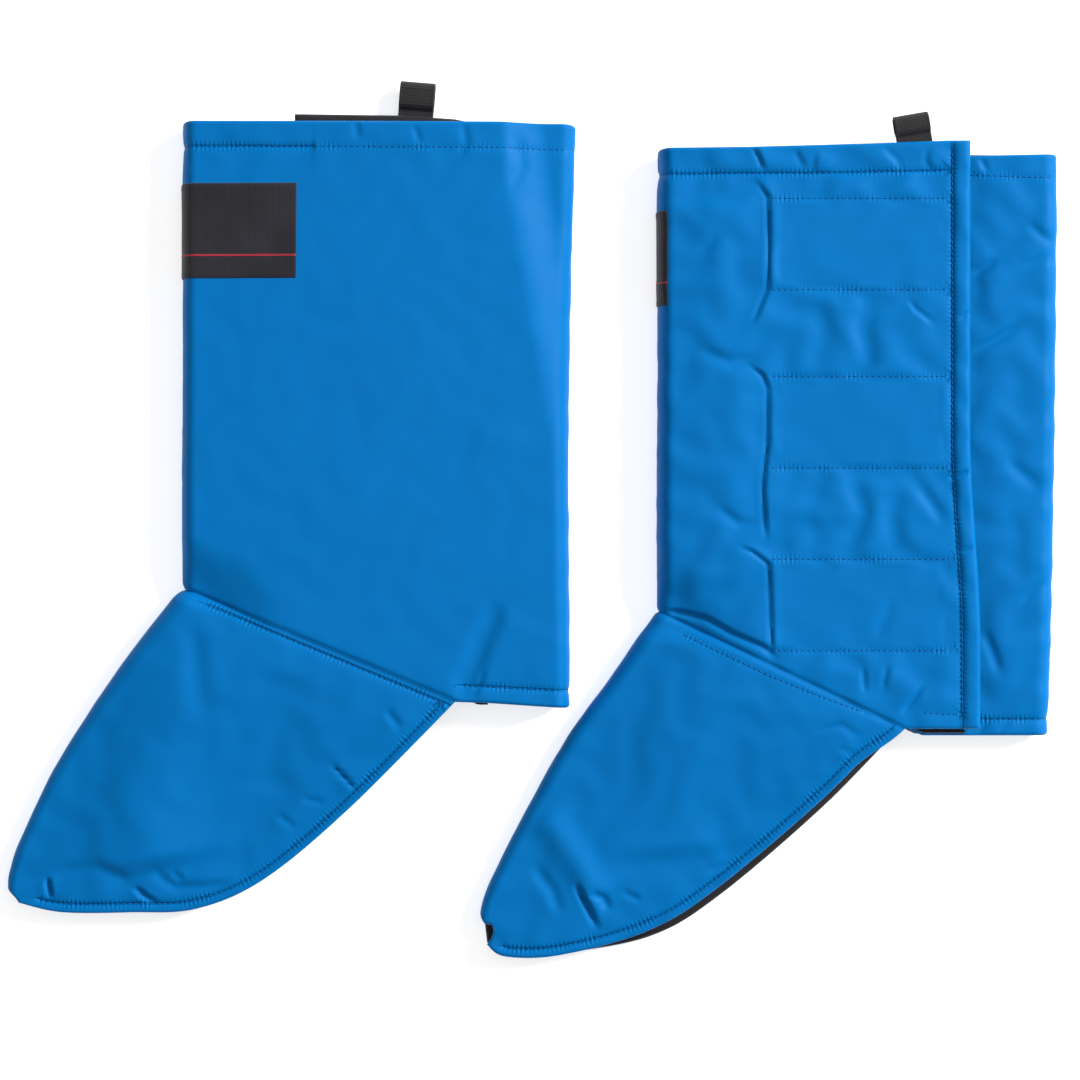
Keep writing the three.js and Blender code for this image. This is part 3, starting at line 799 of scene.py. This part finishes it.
def vamp_panel(g, pitch):
    spine, sole = sole_lines(g)
    length = np.linalg.norm(np.diff(spine, axis=0), axis=1).sum()
    rows = steps(length, pitch) / length
    flat = steps(150, pitch, (False, True)) / 150
    turns = np.linspace(0, math.pi, 17)[1:-1]
    width = 2 * len(flat) + len(turns)
    shape = (len(rows), width)
    x, y, z, top, side, edge = (np.zeros(shape) for _ in range(6))
    across = np.zeros(shape)
    for row, u in enumerate(rows):
        at = lambda line: np.array([np.interp(u, np.linspace(0, 1, len(line)), line[:, k]) for k in (0, 1)])
        front, back = at(spine), at(sole)
        run = np.linalg.norm(back - front)
        ahead = (back - front) / run
        fade = 1 - smooth(0, 0.3, u)
        low = lambda q: LOW + fade * (outer_side_z(q * ahead[0]) - LOW)
        spine_z = FOLD - 3.5 * smooth(0, 1, u)
        crown = mix(FLAP - FOLD, 2, smooth(0, 0.45, u))
        high = lambda q: spine_z + crown * smooth(*TAPE_RISE, q * mix(ahead[0], 1, u))
        radius = (spine_z - low(0)) / 2
        nose = radius + HALF
        upper_run = run - sole_inset(u)
        q_upper = mix(nose, upper_run, flat[::-1])
        q_lower = mix(nose, run, flat)
        tip = 4.5 * smooth(0.93, 1, u) * np.sin(np.pi * np.clip(q_upper / run, 0, 1))
        q = np.concatenate([q_upper, nose - radius * np.sin(turns), q_lower])
        height = np.concatenate([high(q_upper), spine_z - radius + radius * np.cos(turns), low(q_lower)])
        x[row], y[row], z[row] = front[0] + ahead[0] * q, front[1] + ahead[1] * q, height
        x[row, : len(flat)] += tip
        top[row] = high(np.maximum(q, nose)) + HALF
        side[row] = np.concatenate([np.ones(len(flat)), 0.5 + 0.5 * np.cos(turns), np.zeros(len(flat))])
        edge[row] = np.concatenate([upper_run - q_upper, np.full(len(turns), 99.0), run - q_lower])
        arc = radius * (turns - math.pi / 2)
        across[row] = np.concatenate([arc[0] - (q_upper - nose), arc, arc[-1] + q_lower - nose])
    u = np.repeat(rows[:, None], width, 1)
    share = np.minimum(dome(edge), dome((1 - u) * length))
    share = np.minimum(share, 1 - 0.5 * bell(u * length, 1.8))
    panel = make_panel(g, x, y, z, top, 1, share, vamp_relief(g, x, y, side), across, u * length)
    outer, flap = (seam_field(x, y, vamp_stitches(g, upper)) for upper in (False, True))
    return stitched(panel, (np.where(side < 0.5, a, b) for a, b in zip(outer, flap)))


# ---- meshes ----
def sheet_mesh(name, outer, inner, u, v, seams=None):
    """A closed thin sheet between two grids of points, with its flat coordinates in metres."""
    rows, columns = outer.shape[:2]
    vertices = np.concatenate([outer.reshape(-1, 3), inner.reshape(-1, 3)]) * MM
    index = np.arange(rows * columns).reshape(rows, columns)
    a, b, c, d = index[:-1, :-1], index[:-1, 1:], index[1:, 1:], index[1:, :-1]
    front = np.stack([a, d, c, b], -1).reshape(-1, 4)
    shift = rows * columns
    back = front[:, ::-1] + shift
    rim = np.concatenate([index[0, :], index[1:, -1], index[-1, -2::-1], index[-2:0:-1, 0]])
    following = np.roll(rim, -1)
    sides = np.stack([rim, following, following + shift, rim + shift], -1)
    faces = np.concatenate([front, back, sides])
    normal = np.cross(outer[1, 0] - outer[0, 0], outer[0, 1] - outer[0, 0])
    if normal @ (outer[0, 0] - inner[0, 0]) < 0:
        faces = faces[:, ::-1]
    mesh = bpy.data.meshes.new(name)
    mesh.from_pydata(vertices.tolist(), [], faces.tolist())
    flat = np.stack([u, v], -1).reshape(-1, 2) * MM
    flat = np.concatenate([flat, flat])
    layer = mesh.uv_layers.new(name="cloth")
    layer.data.foreach_set("uv", flat[faces.reshape(-1)].astype(np.float32).ravel())
    for label, values in (seams or {}).items():
        attribute = mesh.attributes.new(label, "FLOAT", "POINT")
        attribute.data.foreach_set("value", np.tile(values.ravel(), 2).astype(np.float32))
    mesh.shade_smooth()
    mesh.set_sharp_from_angle(angle=math.radians(55))
    return add_object(name, mesh)


def thinned(panel):
    """The same panel on every second row and column, keeping its edges."""
    keep = lambda n: np.unique(np.concatenate([[0, 1], np.arange(2, n - 2, 2), [n - 2, n - 1]]))
    rows, columns = keep(panel["mid"].shape[0]), keep(panel["mid"].shape[1])
    return {key: value[np.ix_(rows, columns)] for key, value in panel.items()}


def between(name, panel, outside, inside):
    """A sheet between two depths. Each is a function of the share and relief giving a height
    above the middle surface."""
    share, relief = panel["share"], panel["relief"]
    lift = lambda height: panel["mid"] + panel["normal"] * height[..., None]
    top, low = outside(share, relief), inside(share, relief)
    seams = {"seam_gap": panel["gap"], "seam_run": panel["run"], "seam_pull": panel["pull"]}
    return sheet_mesh(name, lift(np.maximum(top, low + 0.02)), lift(low), panel["u"], panel["v"], seams)


def shell_piece(name, panel):
    outside = lambda share, relief: (HALF + relief) * share
    inside = lambda share, relief: np.maximum((HALF + relief) * share - SHELL, 0.06 * share)
    return between(name, panel, outside, inside)


def lowest_near(values):
    """The lowest value within two rows and columns of each place."""
    reach = 2
    padded = np.pad(values, reach, mode="edge")
    rows, columns = values.shape
    span = range(2 * reach + 1)
    return np.min([padded[i : i + rows, j : j + columns] for i in span for j in span], axis=0)


def batting_piece(name, panel):
    pressed = dict(panel, relief=lowest_near((HALF + panel["relief"]) * panel["share"]))
    inside = lambda share, relief: -np.maximum(HALF * share - LINING - 0.15, 0.02)
    outside = lambda share, relief: np.maximum(relief - SHELL - 0.25, inside(share, relief) + 0.05)
    return between(name, thinned(pressed), outside, inside)


def lining_piece(name, panel):
    coarse = thinned(panel)
    inside = lambda share, relief: -HALF * share
    outside = lambda share, relief: np.minimum(-HALF * share + LINING, -0.06 * share)
    return between(name, coarse, outside, inside)


# ---- materials ----
def new_material(name, rough, **inputs):
    material = bpy.data.materials.new(name)
    material.use_nodes = True
    tree = material.node_tree
    shader = tree.nodes["Principled BSDF"]
    shader.inputs["Roughness"].default_value = rough
    for key, value in inputs.items():
        shader.inputs[key.replace("_", " ")].default_value = value
    return material, tree, shader


def math_node(tree, operation, a, b=None):
    node = tree.nodes.new("ShaderNodeMath")
    node.operation = operation
    for socket, value in zip(node.inputs, (a, b)):
        if value is None:
            continue
        if isinstance(value, (int, float)):
            socket.default_value = value
        else:
            tree.links.new(value, socket)
    return node.outputs[0]


def weave_height(tree, pitch, twill):
    """Threads over and under each other, from the cloth's own flat coordinates."""
    flat = tree.nodes.new("ShaderNodeUVMap")
    flat.uv_map = "cloth"
    split = tree.nodes.new("ShaderNodeSeparateXYZ")
    tree.links.new(flat.outputs[0], split.inputs[0])
    across = math_node(tree, "MULTIPLY", split.outputs[0], math.pi / pitch)
    down = math_node(tree, "MULTIPLY", split.outputs[1], math.pi / pitch)
    if twill:
        across = math_node(tree, "ADD", across, math_node(tree, "MULTIPLY", down, twill))
    return math_node(tree, "MULTIPLY", math_node(tree, "SINE", across), math_node(tree, "SINE", down)), flat


def noise(tree, vector, scale, detail):
    node = tree.nodes.new("ShaderNodeTexNoise")
    node.inputs["Scale"].default_value = scale
    node.inputs["Detail"].default_value = detail
    node.inputs["Roughness"].default_value = 0.55
    tree.links.new(vector, node.inputs["Vector"])
    return node.outputs["Fac"]


def colour_between(tree, shader, factor, dark, light):
    ramp = tree.nodes.new("ShaderNodeValToRGB")
    for stop, position, colour in zip(ramp.color_ramp.elements, (0.35, 0.65), (dark, light)):
        stop.position = position
        stop.color = (*colour, 1)
    tree.links.new(factor, ramp.inputs[0])
    tree.links.new(ramp.outputs[0], shader.inputs["Base Color"])


def bump(tree, shader, height, distance, under=None):
    node = tree.nodes.new("ShaderNodeBump")
    node.inputs["Distance"].default_value = distance
    tree.links.new(height, node.inputs["Height"])
    if under:
        tree.links.new(under, node.inputs["Normal"])
    tree.links.new(node.outputs[0], shader.inputs["Normal"])
    return node.outputs[0]


def add_stitching(tree, shader, under):
    """Needle holes and the small gathers that every stitch pulls, along the seam lines."""
    def field(name):
        node = tree.nodes.new("ShaderNodeAttribute")
        node.attribute_name = name
        return node.outputs["Fac"]

    def times(a, b):
        return math_node(tree, "MULTIPLY", a, b)

    gap, run, pull = field("seam_gap"), field("seam_run"), field("seam_pull")
    squared = times(gap, gap)
    groove = math_node(tree, "EXPONENT", times(squared, -1 / 0.55**2))
    beside = math_node(tree, "EXPONENT", times(squared, -1 / 2.3**2))
    wave = math_node(tree, "SINE", times(run, 2 * math.pi / 2.4))
    patchy = tree.nodes.new("ShaderNodeTexNoise")
    patchy.noise_dimensions = "1D"
    patchy.inputs["Scale"].default_value = 0.06
    tree.links.new(run, patchy.inputs["W"])
    share = times(math_node(tree, "SUBTRACT", patchy.outputs["Fac"], 0.38), 3.2)
    gathers = times(times(wave, beside), math_node(tree, "MAXIMUM", share, 0.1))
    height = math_node(tree, "SUBTRACT", times(gathers, 0.42), times(groove, pull))
    bump(tree, shader, times(height, math_node(tree, "SQRT", pull)), 0.0006, under)


def woven(name, dark, light, rough, pitch, depth, twill=0.0, fuzz=0.0, has_seams=False, **inputs):
    """A woven cloth: threads, uneven yarn, and colour that drifts a little over the piece."""
    material, tree, shader = new_material(name, rough, **inputs)
    threads, flat = weave_height(tree, pitch, twill)
    drift = noise(tree, flat.outputs[0], 24.0, 5.0)
    yarn = noise(tree, flat.outputs[0], 900.0, 2.0)
    colour_between(tree, shader, drift, dark, light)
    uneven = math_node(tree, "MULTIPLY", yarn, 0.5 + fuzz)
    surface = bump(tree, shader, math_node(tree, "ADD", threads, uneven), depth)
    if has_seams:
        add_stitching(tree, shader, surface)
    finish = math_node(tree, "ADD", math_node(tree, "MULTIPLY", drift, 0.16), rough - 0.08)
    tree.links.new(finish, shader.inputs["Roughness"])
    return material


MATERIALS = {
    "shell_fabric": woven(
        "coated_nylon", (0.0, 0.148, 0.440), (0.0, 0.154, 0.454), 0.5, 0.0005, 0.00001, has_seams=True,
        Specular_IOR_Level=0.06,
    ),
    "lining_fabric": woven(
        "black_taffeta", (0.006, 0.006, 0.009), (0.013, 0.012, 0.016), 0.6, 0.0004, 0.00004,
        Specular_IOR_Level=0.3, Sheen_Weight=0.1,
    ),
    "insulation": woven(
        "batting_felt", (0.70, 0.68, 0.62), (0.85, 0.83, 0.78), 0.95, 0.0030, 0.0004, fuzz=2.0,
        Specular_IOR_Level=0.1,
    ),
    "hook_tape": woven(
        "hook_tape_black", (0.004, 0.004, 0.006), (0.010, 0.009, 0.012), 0.5, 0.0016, 0.0003,
        Specular_IOR_Level=0.4,
    ),
    "loop_tape": woven(
        "loop_tape_black", (0.005, 0.005, 0.007), (0.016, 0.015, 0.018), 0.95, 0.0011, 0.0003, fuzz=2.5,
        Specular_IOR_Level=0.15, Sheen_Weight=0.5,
    ),
    "webbing": woven(
        "ribbed_webbing", (0.009, 0.0085, 0.010), (0.018, 0.017, 0.019), 0.7, 0.0009, 0.0001,
        Specular_IOR_Level=0.3, Sheen_Weight=0.15,
    ),
    "label": woven(
        "woven_label", (0.011, 0.0105, 0.016), (0.021, 0.020, 0.029), 0.7, 0.0006, 0.00012, twill=1.0,
        Specular_IOR_Level=0.25, Sheen_Weight=0.15,
    ),
    "thread": woven(
        "blue_thread", (0.0, 0.120, 0.360), (0.0, 0.140, 0.420), 0.45, 0.0004, 0.00003,
        Specular_IOR_Level=0.2,
    ),
    "label_thread": woven(
        "red_thread", (0.32, 0.015, 0.030), (0.45, 0.025, 0.045), 0.6, 0.0004, 0.00005,
        Specular_IOR_Level=0.3,
    ),
}


def finish_piece(piece, slot, material=None):
    piece.data.materials.clear()
    piece.data.materials.append(MATERIALS[material or slot])
    return piece


# ---- placing pieces: the leg's pieces are attached to the leg's body, and the flap's and vamp's pieces stay where they are built ----
def in_frame(g, x, y, z):
    return Vector((np.array([x, y, z]) + g["corner"]) * MM)


def across_line(g, start, end, reach):
    """Two points: the middle of a fold line, and a point that far to the line's left."""
    (ax, ay), (bx, by) = start, end
    length = math.hypot(bx - ax, by - ay)
    middle = ((ax + bx) / 2, (ay + by) / 2)
    left = (-(by - ay) / length * reach, (bx - ax) / length * reach)
    return in_frame(g, *middle, 0), in_frame(g, middle[0] + left[0], middle[1] + left[1], 0)


def bend_with_flap(g, piece):
    start, end = across_line(g, g["heel"], (FOLD_TOP, 0.4), -30)
    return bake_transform(piece)


def bend_with_vamp(g, piece):
    start, end = across_line(g, g["instep"], g["heel"], -38)
    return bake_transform(piece)


def ride_leg(g, piece):
    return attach(piece, f"{g['side']}_leg")


# ---- sewing thread ----
def skin_of(piece):
    mesh = piece.data
    return BVHTree.FromPolygons([v.co for v in mesh.vertices], [p.vertices for p in mesh.polygons])


STITCH = 3.2
STITCH_GAP = 0.8
THREAD_RADIUS = 0.28


def thread_piece(name, g, skin, lines, above):
    """Stitches lying on a face, seen from above or from below."""
    points, faces = [], []
    ring_at = ((-0.5, 0.35), (-0.36, 0.85), (0, 1.0), (0.36, 0.85), (0.5, 0.35))
    sides = 6
    direction = Vector((0, 0, -1 if above else 1))
    for line in lines.values():
        line = np.array(line, float)
        length = np.concatenate([[0], np.cumsum(np.linalg.norm(np.diff(line, axis=0), axis=1))])
        for k in range(int(length[-1] / STITCH)):
            ends = []
            for s in (k * STITCH + STITCH_GAP / 2, (k + 1) * STITCH - STITCH_GAP / 2):
                x, y = (np.interp(s, length, line[:, c]) for c in (0, 1))
                ends.append(skin.ray_cast(in_frame(g, x, y, 0) - direction * 0.1, direction))
            (a, a_up, _, _), (b, b_up, _, _) = ends
            if a is None or b is None or (b - a).length > STITCH * 1.6 * MM:
                continue
            up = (a_up + b_up).normalized()
            if up.z * direction.z > 0:
                up.negate()
            run = b - a
            other = run.cross(up).normalized()
            middle = (a + b) / 2 + up * 0.12 * MM
            first = len(points)
            for place, share in ring_at:
                for turn in range(sides):
                    angle = 2 * math.pi * turn / sides
                    bow = up * (0.10 * MM * (1 - 4 * place * place))
                    out = other * math.cos(angle) + up * math.sin(angle)
                    points.append(middle + run * place + bow + out * (THREAD_RADIUS * share * MM))
            for ring in range(len(ring_at) - 1):
                for turn in range(sides):
                    p = first + ring * sides + turn
                    q = first + ring * sides + (turn + 1) % sides
                    faces.append((p, q, q + sides, p + sides))
            faces.append(tuple(first + turn for turn in reversed(range(sides))))
            faces.append(tuple(first + (len(ring_at) - 1) * sides + turn for turn in range(sides)))
    mesh = bpy.data.meshes.new(name)
    mesh.from_pydata([tuple(p) for p in points], [], faces)
    layer = mesh.uv_layers.new(name="cloth")
    where = np.array([(v.co.x, v.co.y) for v in mesh.vertices])
    loops = np.zeros(len(mesh.loops), int)
    mesh.loops.foreach_get("vertex_index", loops)
    layer.data.foreach_set("uv", where[loops].astype(np.float32).ravel())
    mesh.shade_smooth()
    return finish_piece(add_object(name, mesh), "shell_fabric", "thread")


# ---- the pieces of a gaiter ----
PITCH = 1.3


def wall_pieces(g, panel_name, panel, stood_for, follow):
    side = g["side"]
    shell = shell_piece(f"{side}_{panel_name}_shell_cloth", panel)
    batting = batting_piece(f"{side}_{panel_name}_batting", panel)
    lining = lining_piece(f"{side}_{panel_name}_lining_cloth", panel)
    finish_piece(shell, "shell_fabric")
    finish_piece(batting, "insulation")
    finish_piece(lining, "lining_fabric")
    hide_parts(*[f"{side}_{node}" for node in stood_for])
    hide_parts(f"{side}_{panel_name}_insulation")
    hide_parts(f"{side}_{panel_name}_lining")
    for piece in (shell, batting, lining):
        follow(g, piece)
    return shell


def tape_piece(name, g, front, back, top, bottom, base, face_up, pitch, pattern):
    """A rectangle of tape with its working face raised by a pattern. bottom is a function
    of x. Heights are flap side up."""
    xs = steps(back - front, pitch) + front
    vs = steps(top - float(np.min(bottom(xs))), pitch)
    vs = vs / vs[-1]
    x, v = np.meshgrid(xs, vs)
    y = mix(top, bottom(x), v)
    rim = np.minimum(np.minimum(x - front, back - x), np.minimum(top - y, y - bottom(x)))
    raised = pattern(x, y) * smooth(1.0, 2.0, rim)
    face = (TAPE + raised) * dome(rim, 0.6)
    working = base + face if face_up else base + TAPE - face
    plain = np.full(x.shape, base if face_up else base + TAPE)
    if not g["flap_up"]:
        working, plain = STACK_TOP - working, STACK_TOP - plain
    put = lambda z: np.stack([x, y, z], -1) + g["corner"]
    return sheet_mesh(name, put(working), put(plain), x, y)


def hook_pattern(x, y):
    pitch = HOOKS["pitch"]
    return HOOKS["height"] * (np.sin(x * math.pi / pitch) * np.sin(y * math.pi / pitch))


def pile_pattern(x, y):
    return 0.2 * cloud(x, y, 3.0, 5, 2) - 0.1


def flap_fittings(g):
    side = g["side"]
    pitch = 0.75
    for name, top in PATCH_TOPS.items():
        low = top - PATCH["height"]
        hooks = tape_piece(
            f"{side}_hook_tape_{name}", g, PATCH["front"], PATCH["back"], top,
            lambda x: np.full(np.shape(x), low), HOOK_BASE, False, pitch, hook_pattern,
        )
        finish_piece(hooks, "hook_tape")
        nodes = [f"{side}_hook_patch_{name}"]
        if name != "upper":
            nodes.append(f"{side}_hook_patch_{name}_front")
        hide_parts(*nodes)
        bend_with_flap(g, hooks)
    loops = tape_piece(
        f"{side}_loop_tape", g, UNDERLAP_EDGE + 2, LOOP_PANEL["back"], LOOP_PANEL["top"],
        lambda x: np.maximum(HEEL_HEM + 1.5, seam_y(g, x) + 2.5), LOOP_BASE, True, 2 * pitch, pile_pattern,
    )
    finish_piece(loops, "loop_tape")
    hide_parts(f"{side}_loop_panel")
    ride_leg(g, loops)


def hanging_loop(g):
    """One length of ribbed webbing: up from under the hem, over, and back down beside itself."""
    side, loop = g["side"], g["loop"]
    width, thick = WEBBING
    closed, opened = (thick + 0.15) / 2, (6.0 + thick) / 2
    tip = loop["reach"] - LOOP_ROOT - opened - thick / 2
    turn = np.linspace(math.pi / 2, -math.pi / 2, 25)
    out = [(-LOOP_TAIL - LOOP_ROOT + 0.15, closed), (-1.0, closed), (1.5, closed + 0.2)]
    out += [(3.5, opened - 0.7), (5.5, opened)]
    bend = [(tip + opened * math.cos(a), opened * math.sin(a)) for a in turn]
    back = [(s, -z) for s, z in reversed(out)]
    line = spline([*out, *bend, *back], 260)
    length = np.concatenate([[0], np.cumsum(np.linalg.norm(np.diff(line, axis=0), axis=1))])
    step = np.gradient(line, axis=0)
    step /= np.linalg.norm(step, axis=1)[:, None]
    outward = np.stack([-step[:, 1], step[:, 0]], 1)
    across = steps(width, 0.6) - width / 2
    w, s = np.meshgrid(across, length)
    rim = dome(width / 2 - np.abs(w), 0.6)
    ribs = RIBS["height"] * np.sin(2 * np.pi * s / RIBS["pitch"]) * smooth(9.4, 8.0, np.abs(w))
    selvedge = 0.12 * bell(np.abs(w) - 8.9, 0.5)
    half = (thick / 2 + ribs + selvedge) * rim
    height = (HOOK_BASE + TAPE + LOOP_BASE) / 2
    if not g["flap_up"]:
        height = STACK_TOP - height
    lean = loop["lean"]

    def put(offset):
        sy = line[:, 0][:, None] + outward[:, 0][:, None] * offset
        z = line[:, 1][:, None] + outward[:, 1][:, None] * offset + height
        x = loop["centre"] + w * math.cos(lean) - sy * math.sin(lean)
        y = LOOP_ROOT + w * math.sin(lean) + sy * math.cos(lean)
        return np.stack([x, y, z], -1) + g["corner"]

    piece = sheet_mesh(f"{side}_webbing_loop", put(half), put(-half), w, s)
    finish_piece(piece, "webbing")
    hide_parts(f"{side}_hanging_loop", f"{side}_hanging_loop_tail")
    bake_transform(piece)


def label_pieces(g):
    """A woven label that wraps the front fold, with one red line woven across it."""
    side = g["side"]
    reach = steps(LABEL_WRAP + FRONT_ARC + LABEL["width"] - FRONT_CENTRE[0], 1.0) - LABEL_WRAP
    down = steps(LABEL["top"] - LABEL["bottom"], 1.0)
    s, d = np.meshgrid(reach, down)
    y = LABEL["top"] - d
    v = y / HEEL_HEM
    x_in, z_in, _ = outer_side_section(g, np.maximum(s, 0), v)
    x_up, z_up = flap_side_section(np.maximum(-s, 0), v)
    if g["flap_up"]:
        z_up = z_up + front_puff(g, x_up, y)
    x, z = np.where(s < 0, x_up, x_in), np.where(s < 0, z_up, z_in - outer_bulge(g, x_in, y))
    relief = np.where(s < 0, flap_relief(g, x, y), outer_relief(g, x, y, 0.0))
    blur = np.maximum(relief, 0.6 * relief)
    share = np.ones(x.shape)
    panel = make_panel(g, x, y, z, leg_ceiling(x), 1, share, blur, s, d)
    rim = np.minimum(np.minimum(s - reach[0], reach[-1] - s), np.minimum(d, down[-1] - d))
    tucked = dome(rim, 0.7)
    folded = 0.12 * bell(rim - 2.2, 1.1)
    lower = HALF + panel["relief"] + 0.12
    if g["flap_up"]:
        lower = np.where(s > 0, np.minimum(lower, HALF + LABEL_RELIEF - 0.75), lower)
    upper = lower + (0.5 + folded) * tucked
    lift = lambda height: panel["mid"] + panel["normal"] * height[..., None]
    piece = sheet_mesh(f"{side}_woven_label", lift(upper), lift(lower), s, d)
    finish_piece(piece, "label")
    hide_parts(f"{side}_label")
    ride_leg(g, piece)
    pick = np.where((down > RED_LINE[0]) & (down < RED_LINE[1]))[0]
    rows = slice(pick[0], pick[-1] + 2)
    line = sheet_mesh(
        f"{side}_label_red_line", lift(upper + 0.10)[rows, 1:-1], lift(upper - 0.05)[rows, 1:-1],
        s[rows, 1:-1], d[rows, 1:-1],
    )
    finish_piece(line, "label", "label_thread")
    ride_leg(g, line)


def build_gaiter(g):
    side = g["side"]
    flap = wall_pieces(g, "flap", flap_panel(g, PITCH), ["flap_shell", "flap_edge_roll"], bend_with_flap)
    outer = wall_pieces(g, "leg", outer_panel(g, PITCH), ["leg_shell"], ride_leg)
    vamp = wall_pieces(g, "vamp", vamp_panel(g, PITCH), ["vamp_shell"], bend_with_vamp)
    flap_skin, outer_skin, vamp_skin = skin_of(flap), skin_of(outer), skin_of(vamp)
    under = {key: line for key, line in underlap_stitches(g).items() if key != "panel_faint"}
    up = g["flap_up"]
    for name, skin, lines, above, follow in (
        ("flap", flap_skin, flap_stitches(g), up, bend_with_flap),
        ("leg", outer_skin, outer_stitches(g), not up, ride_leg),
        ("underlap", outer_skin, under, up, ride_leg),
        ("vamp", vamp_skin, vamp_stitches(g, False), not up, bend_with_vamp),
        ("vamp_flap", vamp_skin, vamp_stitches(g, True), up, bend_with_vamp),
    ):
        follow(g, thread_piece(f"{side}_{name}_stitches", g, skin, lines, above))
    flap_fittings(g)
    hanging_loop(g)
    label_pieces(g)


# ---- camera, floor and light ----
CAMERA_MARGIN = 1.028
CAMERA_SHIFT = (0.0038, -0.0119)


def add_camera():
    data = bpy.data.cameras.new("overhead")
    data.lens = 100
    data.sensor_width = 36
    camera = add_object("overhead", data)
    view_width = (cad_high.x - cad_low.x) * CAMERA_MARGIN
    distance = view_width * data.lens / data.sensor_width
    x, y = (cad_low.x + cad_high.x) / 2, (cad_low.y + cad_high.y) / 2
    camera.location = (x + CAMERA_SHIFT[0], y + CAMERA_SHIFT[1], cad_high.z * 0.6 + distance)
    bpy.context.scene.camera = camera


FLOOR_GAP = 0.0006


def add_floor():
    mesh = bpy.data.meshes.new("table_top")
    half = 15.0
    corners = [(-half, -half, 0), (half, -half, 0), (half, half, 0), (-half, half, 0)]
    mesh.from_pydata(corners, [], [(0, 1, 2, 3)])
    floor = add_object("table_top", mesh)
    floor.location.z = -FLOOR_GAP
    material, _, shader = new_material("pale_table", 0.8, Specular_IOR_Level=0.1)
    shader.inputs["Base Color"].default_value = (0.85, 0.85, 0.85, 1)
    shader.inputs["Emission Color"].default_value = (1, 1, 1, 1)
    shader.inputs["Emission Strength"].default_value = 0.62
    mesh.materials.append(material)
    floor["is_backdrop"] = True


def add_light(name, place, size, power):
    data = bpy.data.lights.new(name, "AREA")
    data.shape = "SQUARE"
    data.size = size
    data.energy = power
    light = add_object(name, data)
    light.location = place
    light.rotation_euler = (-Vector(place)).to_track_quat("-Z", "Y").to_euler()


def add_world():
    world = bpy.data.worlds.new("studio")
    bpy.context.scene.world = world
    world.use_nodes = True
    background = world.node_tree.nodes["Background"]
    background.inputs["Color"].default_value = (1, 1, 1, 1)
    background.inputs["Strength"].default_value = 0.30


add_camera()
add_floor()
add_light("key", (4.2, 2.2, 2.85), 1.5, 450)
add_light("overhead", (0.1, 0.2, 2.2), 1.6, 8)
add_world()
bpy.context.scene.view_settings.view_transform = "Standard"

for gaiter in GAITERS.values():
    build_gaiter(gaiter)

low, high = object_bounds()
boxes = {"cad": [list(cad_low), list(cad_high)], "visual": [list(low), list(high)]}
